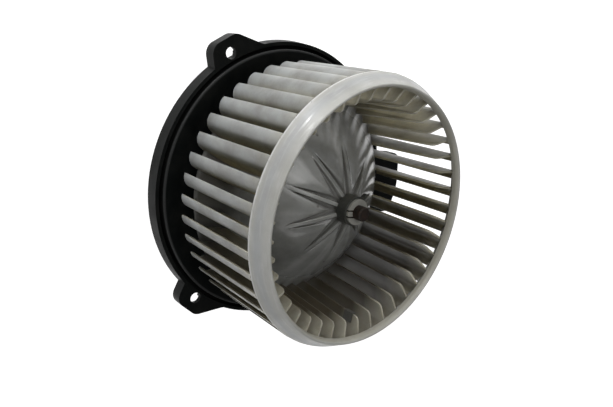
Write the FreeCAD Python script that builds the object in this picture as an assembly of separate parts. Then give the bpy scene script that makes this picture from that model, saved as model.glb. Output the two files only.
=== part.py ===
import FreeCAD, Part
import math
import os
from FreeCAD import Vector

# DC blower fan: a squirrel-cage wheel over a nested brush motor, on a moulded mounting flange.
# Millimetres. Z is the shaft, pointing to the air inlet. Z = 0 is the mounting face of the flange.
# X points to the broad mounting lug. Every height below is measured from the mounting face.

# Fits and clearances
running_gap = 0.03      # radial, shaft in its bearings
brush_gap = 0.15        # a brush in its tube, each side
brush_air = 0.10        # brush tip to commutator
seat_gap = 0.05         # between rigid pieces that are pushed together
air_gap = 0.6           # armature to magnets

# Shaft
shaft_r = 4.0
shaft_front = 72.0
shaft_rear = -36.0
shaft_chamfer = 0.5

# Wheel
wheel_r = 75.0          # outside of the front ring
wheel_front = 81.8
ring_back = 72.0
ring_back_wall = 1.0    # wall at the ring's rear edge
ring_shoulder_wall = 1.2
ring_shoulder = 73.2    # where the ring starts to narrow towards the inlet
ring_shoulder_r = 74.8
ring_round = 4.0
crest_r = 69.8          # outer edge of the narrow front crest
crest_wide = 1.1
lip_round = 0.85
inlet_r = 67.9          # free radius of the wheel's eye
lip_slope = 2.0         # height over which the lip turns into the eye
lip_depth = 4.6
lip_wall = 1.6
blade_count = 41
blade_first_angle = 96.3
blade_tip_r = 75.0
blade_inner_r_front = 60.3
blade_inner_r_rear = 56.4
blade_rear = 10.4
blade_front_inner = 73.5
blade_front_outer = 77.4
blade_corner_r = 4.0
blade_thickness = 1.1
blade_tip_lead = -10.0   # degrees that the outer tip leans out of the tangent, minus is inwards
blade_tip_bend_r = 5.8
blade_tip_bend = 91.0   # degrees
blade_body_bend_r = 200.0

# Wheel hub
hub_edge_r = 67.8
hub_edge_top = 12.8
hub_edge_rear = 10.4
hub_top = 57.8
hub_bulge = 4.9         # rise of the dome over its straight line
hub_wall = 2.2
boss_r = 7.2
boss_top = 67.0
boss_root_r = 8.6
boss_rear = 47.5
slit_width = 0.9
slit_offset = 1.75       # each slit from the middle of the pair
slit_middle = -1.1       # the pair stands off the shaft's middle
slit_depth = 8.0
rib_count = 9
rib_first_angle = 86.5
rib_width = 2.4
rib_height = 1.7
rib_end_r = 34.5
rib_gap = 0.3           # between a rib and the clamp
rib_fade = 0.2          # how far a rib sinks in at its outer end
flute_depth = 1.3
flute_width = 4.5       # of one hollow at the boss
flute_end_r = 34.0
flute_over = 3.0        # how far a flute's cutter stands over the dome

# Spring clamp on the boss
clamp_wall = 1.1
clamp_rear = 58.2
clamp_front = 65.6
clamp_gap_angle = 28.0
clamp_turn = 25.0        # degrees from X to the middle of its gap
clamp_tang_turn = 3.0    # degrees from an end of the band to its tang
clamp_tang = 4.2
clamp_tang_wide = 3.0

# Balance clip on one blade
clip_blade = 20
clip_z = 63.5
clip_length = 6.5
clip_wall = 0.6
clip_grip = 5.0
clip_play = 0.16

# Mounting flange
rim_r = 84.8
skirt_r = rim_r + 0.7   # the outside widens towards the rear
flange_depth = 7.5
rim_wall = 2.0
groove_wide = 2.2
groove_depth = 5.5
spigot_r = rim_r - rim_wall - groove_wide
spigot_step = 1.0       # how far the locating spigot stands proud
spigot_wall = 2.2
spigot_land = 1.6
spigot_edge_r = 0.75
dish_floor = -1.5
dish_wall = 2.5
dish_outer_r = spigot_r - 10.6
dish_round = 12.0
tower_r = 39.5
tower_wall = 2.4
tower_top = 36.8
tower_corner = 5.0
tower_mouth_gap = 1.0    # round the front bearing's pocket
dish_root = 1.5
plate_wall = 2.5
ear_hole_circle_r = rim_r + 2.2
ear_hole_angle = 125.5
ear_hole_r = 3.25
ear_skin = 2.5
ear_wall = 2.0
ear_boss_r = 5.6
ear_crown = 8.5         # reach of the ear beyond the centre of its hole
ear_steep_root = 10.0    # degrees from the hole to the root of the steep side
ear_steep_top = 5.6
ear_long_top = 4.6
ear_long_rim = 14.0
ear_long_root = 24.0
ear_corner_r = 7.0
ear_sweep_r = 14.0      # the long side's run into the rim
pad_root = 4.0          # how far a pad runs in under the rim
lug_r = rim_r + 25.7
lug_high_angle = 13.5
lug_low_angle = 10.2
lug_spread = 4.0         # degrees that each side of the lug widens towards the rim
lug_corner_r = 7.0
lug_edge_r = 28.0        # bend in the middle of the lug's outer edge
lug_bow = 2.5           # how much the lug's outer edge bows out
dish_rib_count = 12
dish_rib_first_angle = 15.0
dish_rib_width = 1.8

# Motor
yoke_r = 35.0
yoke_wall = 1.8
yoke_front = 32.5
yoke_rear = -27.0
yoke_corner = 4.0
yoke_notch = 17.0
yoke_notch_depth = 7.0
pocket_wall = 1.5
bearing_ball_r = 8.5
bearing_half = 4.5
bearing_land = 1.2      # half the width of the bush's cylindrical middle
front_bearing_z = 36.0
rear_bearing_z = -31.5
pocket_play = 0.6       # end play beyond the bearing in its pocket
end_bell_wall = 1.8
retainer_wall = 0.5
retainer_seat = 0.9      # from the bearing's largest radius in to the retainer's edge
retainer_dish = 1.6
yoke_mouth = 1.4         # round the shaft, each side
magnet_wall = 7.4
magnet_front = 25.0
magnet_rear = -9.0
magnet_angle = 138.0
magnet_spring_wall = 0.7
magnet_spring_gap = 0.6  # behind the sprung strip
magnet_spring_reach = 0.7  # of the magnets' wall
magnet_spring_open = 0.82  # of the room between the magnets, at the strip's tips
magnet_spring_back = 0.55
magnet_spring_bend = 0.8
magnet_spring_inset = 4.0  # from each end of the magnets
core_front = 21.0
core_rear = -5.0
core_slots = 12
slot_mouth = 2.4
slot_r = 3.1
slot_centre_r = 19.6
core_hub_r = 12.0
winding_head = 6.0
winding_head_rear = 4.2
winding_clear = 0.25
winding_inset = 2.0      # heads stand in from the outside of the stack
winding_root = 3.0       # how far the heads reach in under their bend
winding_shoulder = 0.6   # share of the front head that is upright
winding_bevel = 3.0
winding_rear_bevel = 4.0
commutator_r = 10.5
commutator_front = -11.6
commutator_rear = -24.0
commutator_core_r = 7.8
commutator_bars = 12
commutator_slit = 0.7
bar_inset = 0.6          # the core stands proud of the bars' rear ends
riser_inset = 0.3
riser_r = 12.6
riser_wide = 2.0
washer_r = 6.6
washer_thick = 0.8
ring_groove_depth = 0.6
ring_clip_r = 6.2
ring_clip_thick = 0.9
ring_clip_gap = 3.2
pocket_gap = 0.7        # a bearing's ball to its pocket

# Brush gear
plate_r = 32.8
brush_plate_front = -23.4
brush_plate_thick = 2.0
brush_plate_hole_r = 14.0
plate_foot_wall = 2.5
plate_foot_gap = 0.2
plate_bridge_wide = 14.0  # the arm under the tabs
brush_wide = 7.0
brush_tall = 8.0
brush_long = 13.5
brush_z = -17.8
brush_tip = 0.5          # from the curved tip's corners in to the block's end
tube_wall = 0.8
tube_front_r = 13.4
tube_rear_r = 31.6
tube_foot_inset = 3.0
lead_slot = 3.2          # the lead's slot starts this far before the brush's rear end
lead_room = 0.3
lead_back = 1.8          # the lead's middle from the brush's rear end
spring_r = 2.6
spring_wire_r = 0.45
spring_turns = 5
spring_rest = 0.02      # a spring's end to what it presses on
lead_r = 0.8
lead_reach = 6.0
lead_bend_r = 2.2
choke_x = 19.0
choke_y = 15.0
choke_turn = -35.0       # degrees
choke_r = 3.2
choke_core_r = 1.8
choke_long = 14.0
choke_core_long = 18.0

# Connector
connector_wide = 20.0
connector_tall = 13.0
connector_wall = 1.6
connector_z = -23.0
connector_mouth_x = 57.0
connector_back_x = 34.6
connector_web = 6.0
connector_lip = 3.0
connector_lip_high = 1.5
connector_lip_gap = 0.3
connector_corner_r = 2.0
latch_start = 5.0        # from the socket's mouth
latch_end = 9.0
latch_wide = 7.0
latch_high = 1.4
tab_wide = 6.3
tab_thick = 0.8
tab_spacing = 8.6
tab_recess = 2.5
tab_foot_x = 27.0
tab_corner_r = 1.2
key_wide = 3.0
key_deep = 1.4

# Rear cover
cover_floor = -38.2
cover_wall = 2.0
cover_flange_r = 43.5
cover_flange_thick = 2.5
cover_corner = 6.0
cover_lug_circle_r = 47.0
cover_lug_r = 5.5
cover_lug_angles = (60.0, 180.0, 300.0)
vent_count = 6
vent_r = 24.0
vent_wide = 4.0
vent_long = 12.0
vent_end_r = 1.9

# Screws and rubber mountings
motor_screw_circle_r = 22.0
motor_screw_angles = (30.0, 150.0, 270.0)
motor_screw_r = 2.5
motor_screw_head_r = 4.5
motor_screw_head = 2.8
motor_screw_bite = 3.0
sleeve_wall = 0.8
grommet_flange_r = 6.6
grommet_neck_r = 4.9
grommet_top = 1.5
cover_screw_r = 1.9
cover_screw_head_r = 3.8
cover_screw_head = 2.6
cover_screw_long = 9.0
cover_boss_wall = 2.0
cover_boss_top = 3.0
screw_bevel = 0.8
screw_play = 0.2         # a cover screw in its lug
screw_room = 0.8         # round a lug of the cover
cover_room = 0.6         # round the cover's own flange
slot_share = 0.55        # half a screw's cross, as a share of its head's radius
slot_thick = 1.0
slot_deep = 1.4
cover_slot_thick = 0.8
cover_slot_deep = 1.2
cover_boss_skin = 1.2    # over the blind hole of a cover screw


def polar(r, degrees):
    """The X and Y of a point at a radius and an angle from X."""
    a = math.radians(degrees)
    return r * math.cos(a), r * math.sin(a)


def rounded_wire(corners, place):
    """A closed outline of straight runs. Each corner is (a, b, radius), and place puts it in space."""
    edges = []
    ends = []
    for i, (a, b, radius) in enumerate(corners):
        here = place(a, b)
        if radius <= 0:
            ends.append((here, here))
            continue
        before = place(*corners[i - 1][:2]) - here
        after = place(*corners[(i + 1) % len(corners)][:2]) - here
        half = before.getAngle(after) / 2
        reach = radius / math.tan(half)
        start = here + before.normalize() * reach
        stop = here + after.normalize() * reach
        inward = (before + after).normalize()
        middle = here + inward * (radius / math.sin(half) - radius)
        edges.append(Part.Arc(start, middle, stop).toShape())
        ends.append((start, stop))
    for i in range(len(ends)):
        leave = ends[i][1]
        arrive = ends[(i + 1) % len(ends)][0]
        if leave.distanceToPoint(arrive) > 1e-6:
            edges.append(Part.LineSegment(leave, arrive).toShape())
    return Part.Wire(Part.__sortEdges__(edges))


def turned(corners):
    """A solid of revolution about the shaft, from corners (radius, height, fillet)."""
    face = Part.Face(rounded_wire(corners, lambda r, z: Vector(r, 0, z)))
    return face.revolve(Vector(0, 0, 0), Vector(0, 0, 1), 360)


def slab(corners, low, high):
    """A plate between two heights, from corners (x, y, fillet)."""
    face = Part.Face(rounded_wire(corners, lambda x, y: Vector(x, y, low)))
    return face.extrude(Vector(0, 0, high - low))


def tube(outer, inner, low, high):
    """A plain ring between two heights."""
    ring = Part.makeCylinder(outer, high - low, Vector(0, 0, low))
    return ring.cut(Part.makeCylinder(inner, high - low, Vector(0, 0, low)))


def rod(r, low, high, x=0.0, y=0.0):
    """A cylinder along Z."""
    return Part.makeCylinder(r, high - low, Vector(x, y, low))


def block(x0, x1, y0, y1, z0, z1):
    """A box between six planes."""
    return Part.makeBox(x1 - x0, y1 - y0, z1 - z0, Vector(x0, y0, z0))


def around(shape, degrees):
    """A copy turned about the shaft."""
    copy = shape.copy()
    copy.rotate(Vector(0, 0, 0), Vector(0, 0, 1), degrees)
    return copy


def ring_of(shape, count, first=0.0):
    """Copies of a shape at an even pitch about the shaft."""
    return [around(shape, first + 360.0 * i / count) for i in range(count)]


def mirrored(shape):
    """A copy on the other side of the plane of X and Z."""
    return shape.mirror(Vector(0, 0, 0), Vector(0, 1, 0))


def save(node, solids):
    """Write one sub-part as its own file."""
    if isinstance(solids, list):
        solids = Part.makeCompound(solids)
    solids.exportStep(os.path.join("parts", node + ".step"))


# The dome of the hub is one arc in section, from the boss to the edge.
def dome_centre():
    """Centre and radius of the dome's arc, as (radius from the shaft, height, arc radius)."""
    chord_r = hub_edge_r - boss_r
    chord_z = hub_edge_top - hub_top
    chord = math.hypot(chord_r, chord_z)
    arc = chord ** 2 / 8 / hub_bulge + hub_bulge / 2
    back = arc - hub_bulge
    mid_r = (hub_edge_r + boss_r) / 2
    mid_z = (hub_edge_top + hub_top) / 2
    return mid_r + chord_z / chord * back, mid_z - chord_r / chord * back, arc


def dome_point(r, offset=0.0):
    """The point of the dome at a radius, moved out of its surface by an offset."""
    centre_r, centre_z, arc = dome_centre()
    return Vector(r, 0, centre_z + math.sqrt((arc + offset) ** 2 - (r - centre_r) ** 2))


def dome_edge(r0, r1, offset0=0.0, offset1=None):
    """An arc along the dome between two radii."""
    if offset1 is None:
        offset1 = offset0
    middle = dome_point((r0 + r1) / 2, (offset0 + offset1) / 2)
    return Part.Arc(dome_point(r0, offset0), middle, dome_point(r1, offset1)).toShape()


def line(a, b):
    """A straight edge."""
    return Part.LineSegment(a, b).toShape()


def closed_by_lines(edges, points):
    """A face in section: the edges, then straight runs through the points back to the start."""
    chain = [edges[-1].Vertexes[-1].Point] + points + [edges[0].Vertexes[0].Point]
    runs = [line(a, b) for a, b in zip(chain, chain[1:])]
    return Part.Face(Part.Wire(Part.__sortEdges__(edges + runs)))


def impeller_ring():
    """The front ring: a tapered band that turns in to a rounded inlet lip."""
    return turned([
        (wheel_r, ring_back, 0),
        (ring_shoulder_r, ring_shoulder, ring_round),
        (crest_r, wheel_front, lip_round),
        (crest_r - crest_wide, wheel_front, lip_round),
        (inlet_r, wheel_front - lip_slope, lip_slope),
        (inlet_r, wheel_front - lip_depth, 0),
        (inlet_r + lip_wall, wheel_front - lip_depth, 0),
        (ring_shoulder_r - ring_shoulder_wall, ring_shoulder, 0),
        (wheel_r - ring_back_wall, ring_back, 0),
    ])


def hub_blank():
    """Everything under the dome's outer surface, for trimming the blades."""
    face = closed_by_lines(
        [dome_edge(boss_r, hub_edge_r)],
        [Vector(hub_edge_r, 0, hub_edge_rear - 5), Vector(boss_r, 0, hub_edge_rear - 5)],
    )
    return face.revolve(Vector(0, 0, 0), Vector(0, 0, 1), 360)


def spun(v, degrees):
    """A vector turned about Z."""
    return FreeCAD.Rotation(Vector(0, 0, 1), degrees).multVec(v)


def blade_bends():
    """The two bends of a blade's middle line, each as (centre, unit spoke to its start, radius, degrees)."""
    tip = Vector(blade_tip_r - blade_thickness / 2, 0, 0)
    to_centre = spun(Vector(-1, 0, 0), blade_tip_lead)
    tip_centre = tip + to_centre * blade_tip_bend_r
    tip_spoke = to_centre * -1
    body_spoke = spun(tip_spoke, blade_tip_bend)
    body_centre = tip_centre + body_spoke * (blade_tip_bend_r - blade_body_bend_r)
    body_turn = math.degrees((blade_tip_r - blade_inner_r_rear) / blade_body_bend_r)
    return (
        (tip_centre, tip_spoke, blade_tip_bend_r, blade_tip_bend),
        (body_centre, body_spoke, blade_body_bend_r, body_turn),
    )


def bend_edge(bend, offset):
    """One face of a bend in section, at an offset from the middle line."""
    centre, spoke, radius, turn = bend
    out = spoke * (radius + offset)
    return Part.Arc(*(centre + spun(out, turn * share) for share in (0, 0.5, 1))).toShape()


def blade_section(half):
    """The section of one blade, half a thickness each way: a tight bend at the tip, then a long one."""
    tip_bend, body_bend = blade_bends()
    outer = [bend_edge(tip_bend, half), bend_edge(body_bend, half)]
    inner = [bend_edge(tip_bend, -half), bend_edge(body_bend, -half)]
    ends = [
        line(outer[0].Vertexes[0].Point, inner[0].Vertexes[0].Point),
        line(outer[1].Vertexes[1].Point, inner[1].Vertexes[1].Point),
    ]
    return Part.Face(Part.Wire(Part.__sortEdges__(outer + inner + ends)))


def one_blade(ring):
    """A blade parallel to the shaft, trimmed by the hub, the ring and its own end lines."""
    prism = blade_section(blade_thickness / 2)
    prism.translate(Vector(0, 0, blade_rear))
    prism = prism.extrude(Vector(0, 0, wheel_front - blade_rear))
    in_ring = ring_back_wall / 2
    corners = [
        (blade_inner_r_rear, blade_rear, 0),
        (blade_inner_r_front, blade_front_inner, blade_corner_r),
        (inlet_r + 2 * lip_wall, blade_front_outer, 0),
        (ring_shoulder_r - in_ring, ring_shoulder, 0),
        (wheel_r - in_ring, ring_back, 0),
        (wheel_r + 1, ring_back, 0),
        (wheel_r + 1, blade_rear, 0),
    ]
    reach = 2 * blade_tip_bend_r
    outline = Part.Face(rounded_wire(corners, lambda r, z: Vector(r, -reach, z)))
    envelope = outline.extrude(Vector(0, 2 * reach, 0))
    return prism.common(envelope).cut([hub_blank(), ring])


def impeller_blades(ring):
    """All blades of the cage."""
    blade = one_blade(ring)
    return ring_of(blade, blade_count, blade_first_angle)


def hub_rib():
    """A raised rib on the dome, highest at the boss."""
    start = boss_r + seat_gap + clamp_wall + rib_gap
    low = dome_edge(start, rib_end_r, -hub_wall / 2)
    high = dome_edge(start, rib_end_r, rib_height, -rib_fade)
    runs = [line(low.Vertexes[i].Point, high.Vertexes[i].Point) for i in (0, -1)]
    face = Part.Face(Part.Wire(Part.__sortEdges__([low, high] + runs)))
    face.translate(Vector(0, -rib_width / 2, 0))
    return face.extrude(Vector(0, rib_width, 0))


def hub_flutes():
    """The pair of tapering hollows beside one rib."""
    low = dome_edge(boss_root_r, flute_end_r, -flute_depth)
    high = dome_edge(boss_root_r, flute_end_r, flute_over)
    runs = [line(low.Vertexes[i].Point, high.Vertexes[i].Point) for i in (0, -1)]
    face = Part.Face(Part.Wire(Part.__sortEdges__([low, high] + runs)))
    reach = rib_width + flute_width
    face.translate(Vector(0, -reach, 0))
    layer = face.extrude(Vector(0, 2 * reach, 0))
    root = rib_width / 2
    wedge = slab([
        (shaft_r, root, 0),
        (flute_end_r, root, 0),
        (shaft_r, root + flute_width, 0),
    ], boss_rear, boss_top)
    wedges = wedge.fuse(mirrored(wedge))
    return wedges.common(layer)


def impeller_hub():
    """The domed hub with its boss, ribs and collet slits."""
    inner = dome_edge(hub_edge_r - hub_wall, boss_root_r, -hub_wall)
    outer = dome_edge(boss_r, hub_edge_r)
    face_edges = [
        outer,
        line(dome_point(hub_edge_r), Vector(hub_edge_r, 0, hub_edge_rear)),
        line(Vector(hub_edge_r, 0, hub_edge_rear), Vector(hub_edge_r - hub_wall, 0, hub_edge_rear)),
        line(Vector(hub_edge_r - hub_wall, 0, hub_edge_rear), dome_point(hub_edge_r - hub_wall, -hub_wall)),
        inner,
        line(dome_point(boss_root_r, -hub_wall), Vector(boss_root_r, 0, boss_rear)),
        line(Vector(boss_root_r, 0, boss_rear), Vector(shaft_r, 0, boss_rear)),
        line(Vector(shaft_r, 0, boss_rear), Vector(shaft_r, 0, boss_top)),
        line(Vector(shaft_r, 0, boss_top), Vector(boss_r, 0, boss_top)),
        line(Vector(boss_r, 0, boss_top), dome_point(boss_r)),
    ]
    face = Part.Face(Part.Wire(Part.__sortEdges__(face_edges)))
    hub = face.revolve(Vector(0, 0, 0), Vector(0, 0, 1), 360)
    hub = hub.cut(ring_of(hub_flutes(), rib_count, rib_first_angle))
    hub = hub.fuse(ring_of(hub_rib(), rib_count, rib_first_angle))
    slits = [
        block(-boss_r - 1, boss_r + 1, y - slit_width / 2, y + slit_width / 2,
              boss_top - slit_depth, boss_top + 1)
        for y in (slit_middle - slit_offset, slit_middle + slit_offset)
    ]
    return hub.cut(slits).removeSplitter()


def hub_clamp():
    """The open spring band that squeezes the boss onto the shaft, with two gripping tangs."""
    inner = boss_r + seat_gap
    band = tube(inner + clamp_wall, inner, clamp_rear, clamp_front)
    half = clamp_gap_angle / 2
    far = 2 * boss_r
    gap = slab([(0, 0, 0), (*polar(far, -half), 0), (*polar(far, half), 0)], clamp_rear, clamp_front)
    band = band.cut(gap)
    mid = (clamp_rear + clamp_front) / 2
    for side in (-1, 1):
        tang = block(inner + seat_gap, inner + clamp_wall + clamp_tang, -clamp_wall / 2, clamp_wall / 2,
                     mid - clamp_tang_wide / 2, mid + clamp_tang_wide / 2)
        tang = around(tang, side * (half + clamp_tang_turn))
        band = band.fuse(tang)
    return around(band.removeSplitter(), clamp_turn)


def blade_inner_x(z):
    """Distance of a blade's inner edge from the shaft, at a height."""
    share = (z - blade_rear) / (blade_front_inner - blade_rear)
    return blade_inner_r_rear + share * (blade_inner_r_front - blade_inner_r_rear)


def balance_clip():
    """A folded spring clip that hugs the inner edge of one blade."""
    back = blade_inner_x(clip_z) - clip_play
    reach = 2 * blade_tip_bend_r
    inner_half = blade_thickness / 2 + clip_play
    up = Vector(0, 0, clip_length)
    outside = blade_section(inner_half + clip_wall).extrude(up)
    inside = blade_section(inner_half).extrude(up)
    outside = outside.common(block(back - clip_wall, back + clip_grip, -reach, reach, 0, clip_length))
    inside = inside.common(block(back, back + clip_grip, -reach, reach, 0, clip_length))
    clip = outside.cut(inside)
    clip.translate(Vector(0, 0, clip_z))
    return around(clip, blade_first_angle + 360.0 * clip_blade / blade_count)


def motor_shaft():
    """The shaft, with a chamfer at each end and the groove of its retaining ring."""
    groove = ring_clip_z()
    low = shaft_r - shaft_chamfer
    neck = shaft_r - ring_groove_depth
    return turned([
        (0, shaft_rear, 0),
        (low, shaft_rear, 0),
        (shaft_r, shaft_rear + shaft_chamfer, 0),
        (shaft_r, groove, 0),
        (neck, groove, 0),
        (neck, groove + ring_clip_thick, 0),
        (shaft_r, groove + ring_clip_thick, 0),
        (shaft_r, shaft_front - shaft_chamfer, 0),
        (low, shaft_front, 0),
        (0, shaft_front, 0),
    ])


def front_washer_z():
    """Rear face of the front thrust washer."""
    return front_bearing_z - bearing_half - washer_thick - seat_gap


def ring_clip_z():
    """Rear face of the retaining ring behind the front thrust washer."""
    return front_washer_z() - ring_clip_thick - seat_gap


def thrust_washer(low):
    """A plain washer on the shaft."""
    return tube(washer_r, shaft_r + running_gap, low, low + washer_thick)


def retaining_ring():
    """The open ring in the shaft's groove."""
    low = ring_clip_z()
    ring = tube(ring_clip_r, shaft_r - ring_groove_depth, low, low + ring_clip_thick)
    half = ring_clip_gap / 2
    return ring.cut(block(0, ring_clip_r, -half, half, low, low + ring_clip_thick))


def core_outer_r():
    """Outside of the armature."""
    return yoke_r - yoke_wall - seat_gap - magnet_wall - air_gap


def armature_core():
    """The slotted stack of laminations."""
    core = tube(core_outer_r(), shaft_r, core_rear, core_front)
    mouth = block(slot_centre_r, core_outer_r() + 1, -slot_mouth / 2, slot_mouth / 2, core_rear, core_front)
    slot = rod(slot_r, core_rear, core_front, slot_centre_r).fuse(mouth)
    return core.cut(ring_of(slot, core_slots)).removeSplitter()


def armature_windings():
    """The coils: copper in every slot, joined by the rounded heads at both ends."""
    head_outer = core_outer_r() - winding_inset
    front = turned([
        (core_hub_r - winding_root, core_front, 0),
        (head_outer, core_front, 0),
        (head_outer, core_front + winding_head * winding_shoulder, 0),
        (head_outer - winding_bevel, core_front + winding_head, 0),
        (core_hub_r, core_front + winding_head, 0),
    ])
    rear = turned([
        (core_hub_r - winding_root, core_rear, 0),
        (head_outer, core_rear, 0),
        (head_outer - winding_rear_bevel, core_rear - winding_head_rear, 0),
        (core_hub_r, core_rear - winding_head_rear, 0),
    ])
    coils = ring_of(rod(slot_r - winding_clear, core_rear, core_front, slot_centre_r), core_slots)
    return front.fuse(coils + [rear]).removeSplitter()


def commutator_body():
    """The moulded core that carries the copper bars."""
    return tube(commutator_core_r, shaft_r, commutator_rear, commutator_front + riser_wide)


def commutator_bar():
    """One copper bar with its riser."""
    bar = turned([
        (commutator_core_r, commutator_rear + bar_inset, 0),
        (commutator_r, commutator_rear + bar_inset, 0),
        (commutator_r, commutator_front, 0),
        (riser_r, commutator_front, 0),
        (riser_r, commutator_front + riser_wide - riser_inset, 0),
        (commutator_core_r, commutator_front + riser_wide - riser_inset, 0),
    ])
    half = 180.0 / commutator_bars
    far = 2 * riser_r
    wedge = slab([(0, 0, 0), (*polar(far, -half), 0), (*polar(far, half), 0)], commutator_rear, core_rear)
    shift = commutator_slit / 2 / math.sin(math.radians(half))
    wedge.translate(Vector(shift, 0, 0))
    return bar.common(wedge)


def pocket_r():
    """Inner radius of a bearing pocket."""
    return bearing_ball_r + pocket_gap


def bearing(z):
    """A sintered bush with a barrelled outside."""
    bore = shaft_r + running_gap
    end_r = bearing_seat_r(bearing_half)
    return turned([
        (bore, z - bearing_half, 0),
        (end_r, z - bearing_half, 0),
        (bearing_ball_r, z - bearing_land, 0),
        (bearing_ball_r, z + bearing_land, 0),
        (end_r, z + bearing_half, 0),
        (bore, z + bearing_half, 0),
    ])


def bearing_retainer(z, side):
    """A dished spring washer that holds a bearing in its seat. side is +1 when it lies above."""
    face_r = bearing_ball_r - retainer_seat
    seat = math.sqrt(bearing_ball_r ** 2 - face_r ** 2)
    near = z + side * (seat + seat_gap)
    far = z + side * (seat - retainer_dish)
    return turned([
        (face_r, near, 0),
        (face_r, near + side * retainer_wall, 0),
        (pocket_r() - seat_gap, far + side * retainer_wall, 0),
        (pocket_r() - seat_gap, far, 0),
    ])


def bearing_seat_r(distance):
    """Radius of the opening that stops the spherical bearing at a distance from its centre."""
    return math.sqrt(bearing_ball_r ** 2 - distance ** 2)


def motor_yoke():
    """The drawn steel can, with the front bearing's pocket and the connector's notch."""
    top = front_bearing_z + bearing_half + pocket_play
    mouth_r = shaft_r + yoke_mouth
    can = turned([
        (yoke_r, yoke_rear, 0),
        (yoke_r, yoke_front, yoke_corner),
        (pocket_r() + pocket_wall, yoke_front, 0),
        (pocket_r() + pocket_wall, top + pocket_wall, 0),
        (mouth_r, top + pocket_wall, 0),
        (mouth_r, top, 0),
        (pocket_r(), top, 0),
        (pocket_r(), yoke_front - yoke_wall, 0),
        (yoke_r - yoke_wall, yoke_front - yoke_wall, 0),
        (yoke_r - yoke_wall, yoke_rear, 0),
    ])
    notch = block(yoke_r - 2 * yoke_wall, yoke_r + 1, -yoke_notch / 2, yoke_notch / 2,
                  yoke_rear, yoke_rear + yoke_notch_depth)
    holes = [
        rod(motor_screw_r, yoke_front - yoke_wall - 1, yoke_front + 1, *polar(motor_screw_circle_r, a))
        for a in motor_screw_angles
    ]
    return can.cut([notch] + holes)


def end_bell():
    """The steel end plate with the rear bearing's pocket."""
    low = rear_bearing_z - bearing_half - pocket_play
    face = yoke_rear - end_bell_wall
    return turned([
        (yoke_r, yoke_rear, 0),
        (yoke_r, face, 0),
        (pocket_r() + pocket_wall, face, 0),
        (pocket_r() + pocket_wall, low - pocket_wall, 0),
        (0, low - pocket_wall, 0),
        (0, low, 0),
        (pocket_r(), low, 0),
        (pocket_r(), yoke_rear, 0),
    ])


def magnet():
    """One arc magnet."""
    outer = yoke_r - yoke_wall - seat_gap
    ring = tube(outer, outer - magnet_wall, magnet_rear, magnet_front)
    half = magnet_angle / 2
    far = 3 * yoke_r
    keep = slab([(0, 0, 0), (*polar(far, -half), 0), (far, 0, 0), (*polar(far, half), 0)],
                magnet_rear, magnet_front)
    return ring.common(keep)


def magnet_spring():
    """A sprung U strip that pushes two magnets apart."""
    outer = yoke_r - yoke_wall - seat_gap
    gap = math.radians(180 - magnet_angle) / 2
    wide = (outer - magnet_wall / 2) * math.sin(gap) - seat_gap
    foot = outer - magnet_spring_gap
    wall = magnet_spring_wall
    tip = foot - magnet_wall * magnet_spring_reach
    open_half = wide * magnet_spring_open
    back_half = wide * magnet_spring_back
    bend = magnet_spring_bend
    return slab([
        (tip, -open_half, 0),
        (tip, -open_half + wall, 0),
        (foot - wall, -back_half, bend),
        (foot - wall, back_half, bend),
        (tip, open_half - wall, 0),
        (tip, open_half, 0),
        (foot, back_half + wall, bend + wall),
        (foot, -back_half - wall, bend + wall),
    ], magnet_rear + magnet_spring_inset, magnet_front - magnet_spring_inset)


def brush_plate():
    """The moulded plate that carries the brush gear inside the can's open end."""
    low = brush_plate_front - brush_plate_thick
    plate = tube(plate_r, brush_plate_hole_r, low, brush_plate_front)
    rest = tube(plate_r, plate_r - plate_foot_wall, yoke_rear + plate_foot_gap, low)
    half = plate_bridge_wide / 2
    bridge = block(plate_r - plate_foot_wall, connector_back_x, -half, half, low, brush_plate_front)
    return plate.fuse([rest, bridge]).removeSplitter()


def brush_half():
    """Half sizes of a brush across its travel."""
    return brush_wide / 2, brush_tall / 2


def brush():
    """The carbon brush on the +Y side, with its tip shaped to the commutator."""
    half_x, half_z = brush_half()
    tip = brush_rear_y() - brush_long
    body = block(-half_x, half_x, tip, brush_rear_y(), brush_z - half_z, brush_z + half_z)
    round_tip = rod(commutator_r + brush_air, brush_z - half_z - 1, brush_z + half_z + 1)
    return body.cut(round_tip)


def brush_rear_y():
    """The sprung end of a brush at rest."""
    half_x = brush_half()[0]
    return math.sqrt((commutator_r + brush_air) ** 2 - half_x ** 2) - brush_tip + brush_long


def brush_tube():
    """The brass guide of one brush: a box with a closed rear end and a slot for the lead."""
    half_x, half_z = brush_half()
    in_x = half_x + brush_gap
    in_z = half_z + brush_gap
    outer = block(-in_x - tube_wall, in_x + tube_wall, tube_front_r, tube_rear_r,
                  brush_z - in_z - tube_wall, brush_z + in_z + tube_wall)
    hollow = block(-in_x, in_x, tube_front_r - 1, tube_rear_r - tube_wall, brush_z - in_z, brush_z + in_z)
    slot = block(0, in_x + tube_wall + 1, brush_rear_y() - lead_slot, tube_rear_r - tube_wall,
                 brush_z - lead_r - lead_room, brush_z + lead_r + lead_room)
    posts = block(-in_x - tube_wall, in_x + tube_wall, tube_front_r + tube_foot_inset,
                  tube_rear_r - tube_foot_inset, brush_plate_front, brush_z - in_z - tube_wall)
    return outer.cut([hollow, slot]).fuse(posts).removeSplitter()


def brush_spring():
    """The coil spring between a brush and the closed end of its tube."""
    start = brush_rear_y() + spring_rest
    stop = tube_rear_r - tube_wall - spring_rest
    pitch = (stop - start - 2 * spring_wire_r) / spring_turns
    helix = Part.makeHelix(pitch, pitch * spring_turns, spring_r)
    w = spring_wire_r
    section = Part.makePolygon([Vector(spring_r + a, 0, b) for a, b in ((w, 0), (0, w), (-w, 0), (0, -w), (w, 0))])
    coil = Part.Wire(helix).makePipeShell([section], True, True)
    coil.rotate(Vector(0, 0, 0), Vector(1, 0, 0), -90)
    coil.translate(Vector(0, start + spring_wire_r, brush_z))
    return coil


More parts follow.
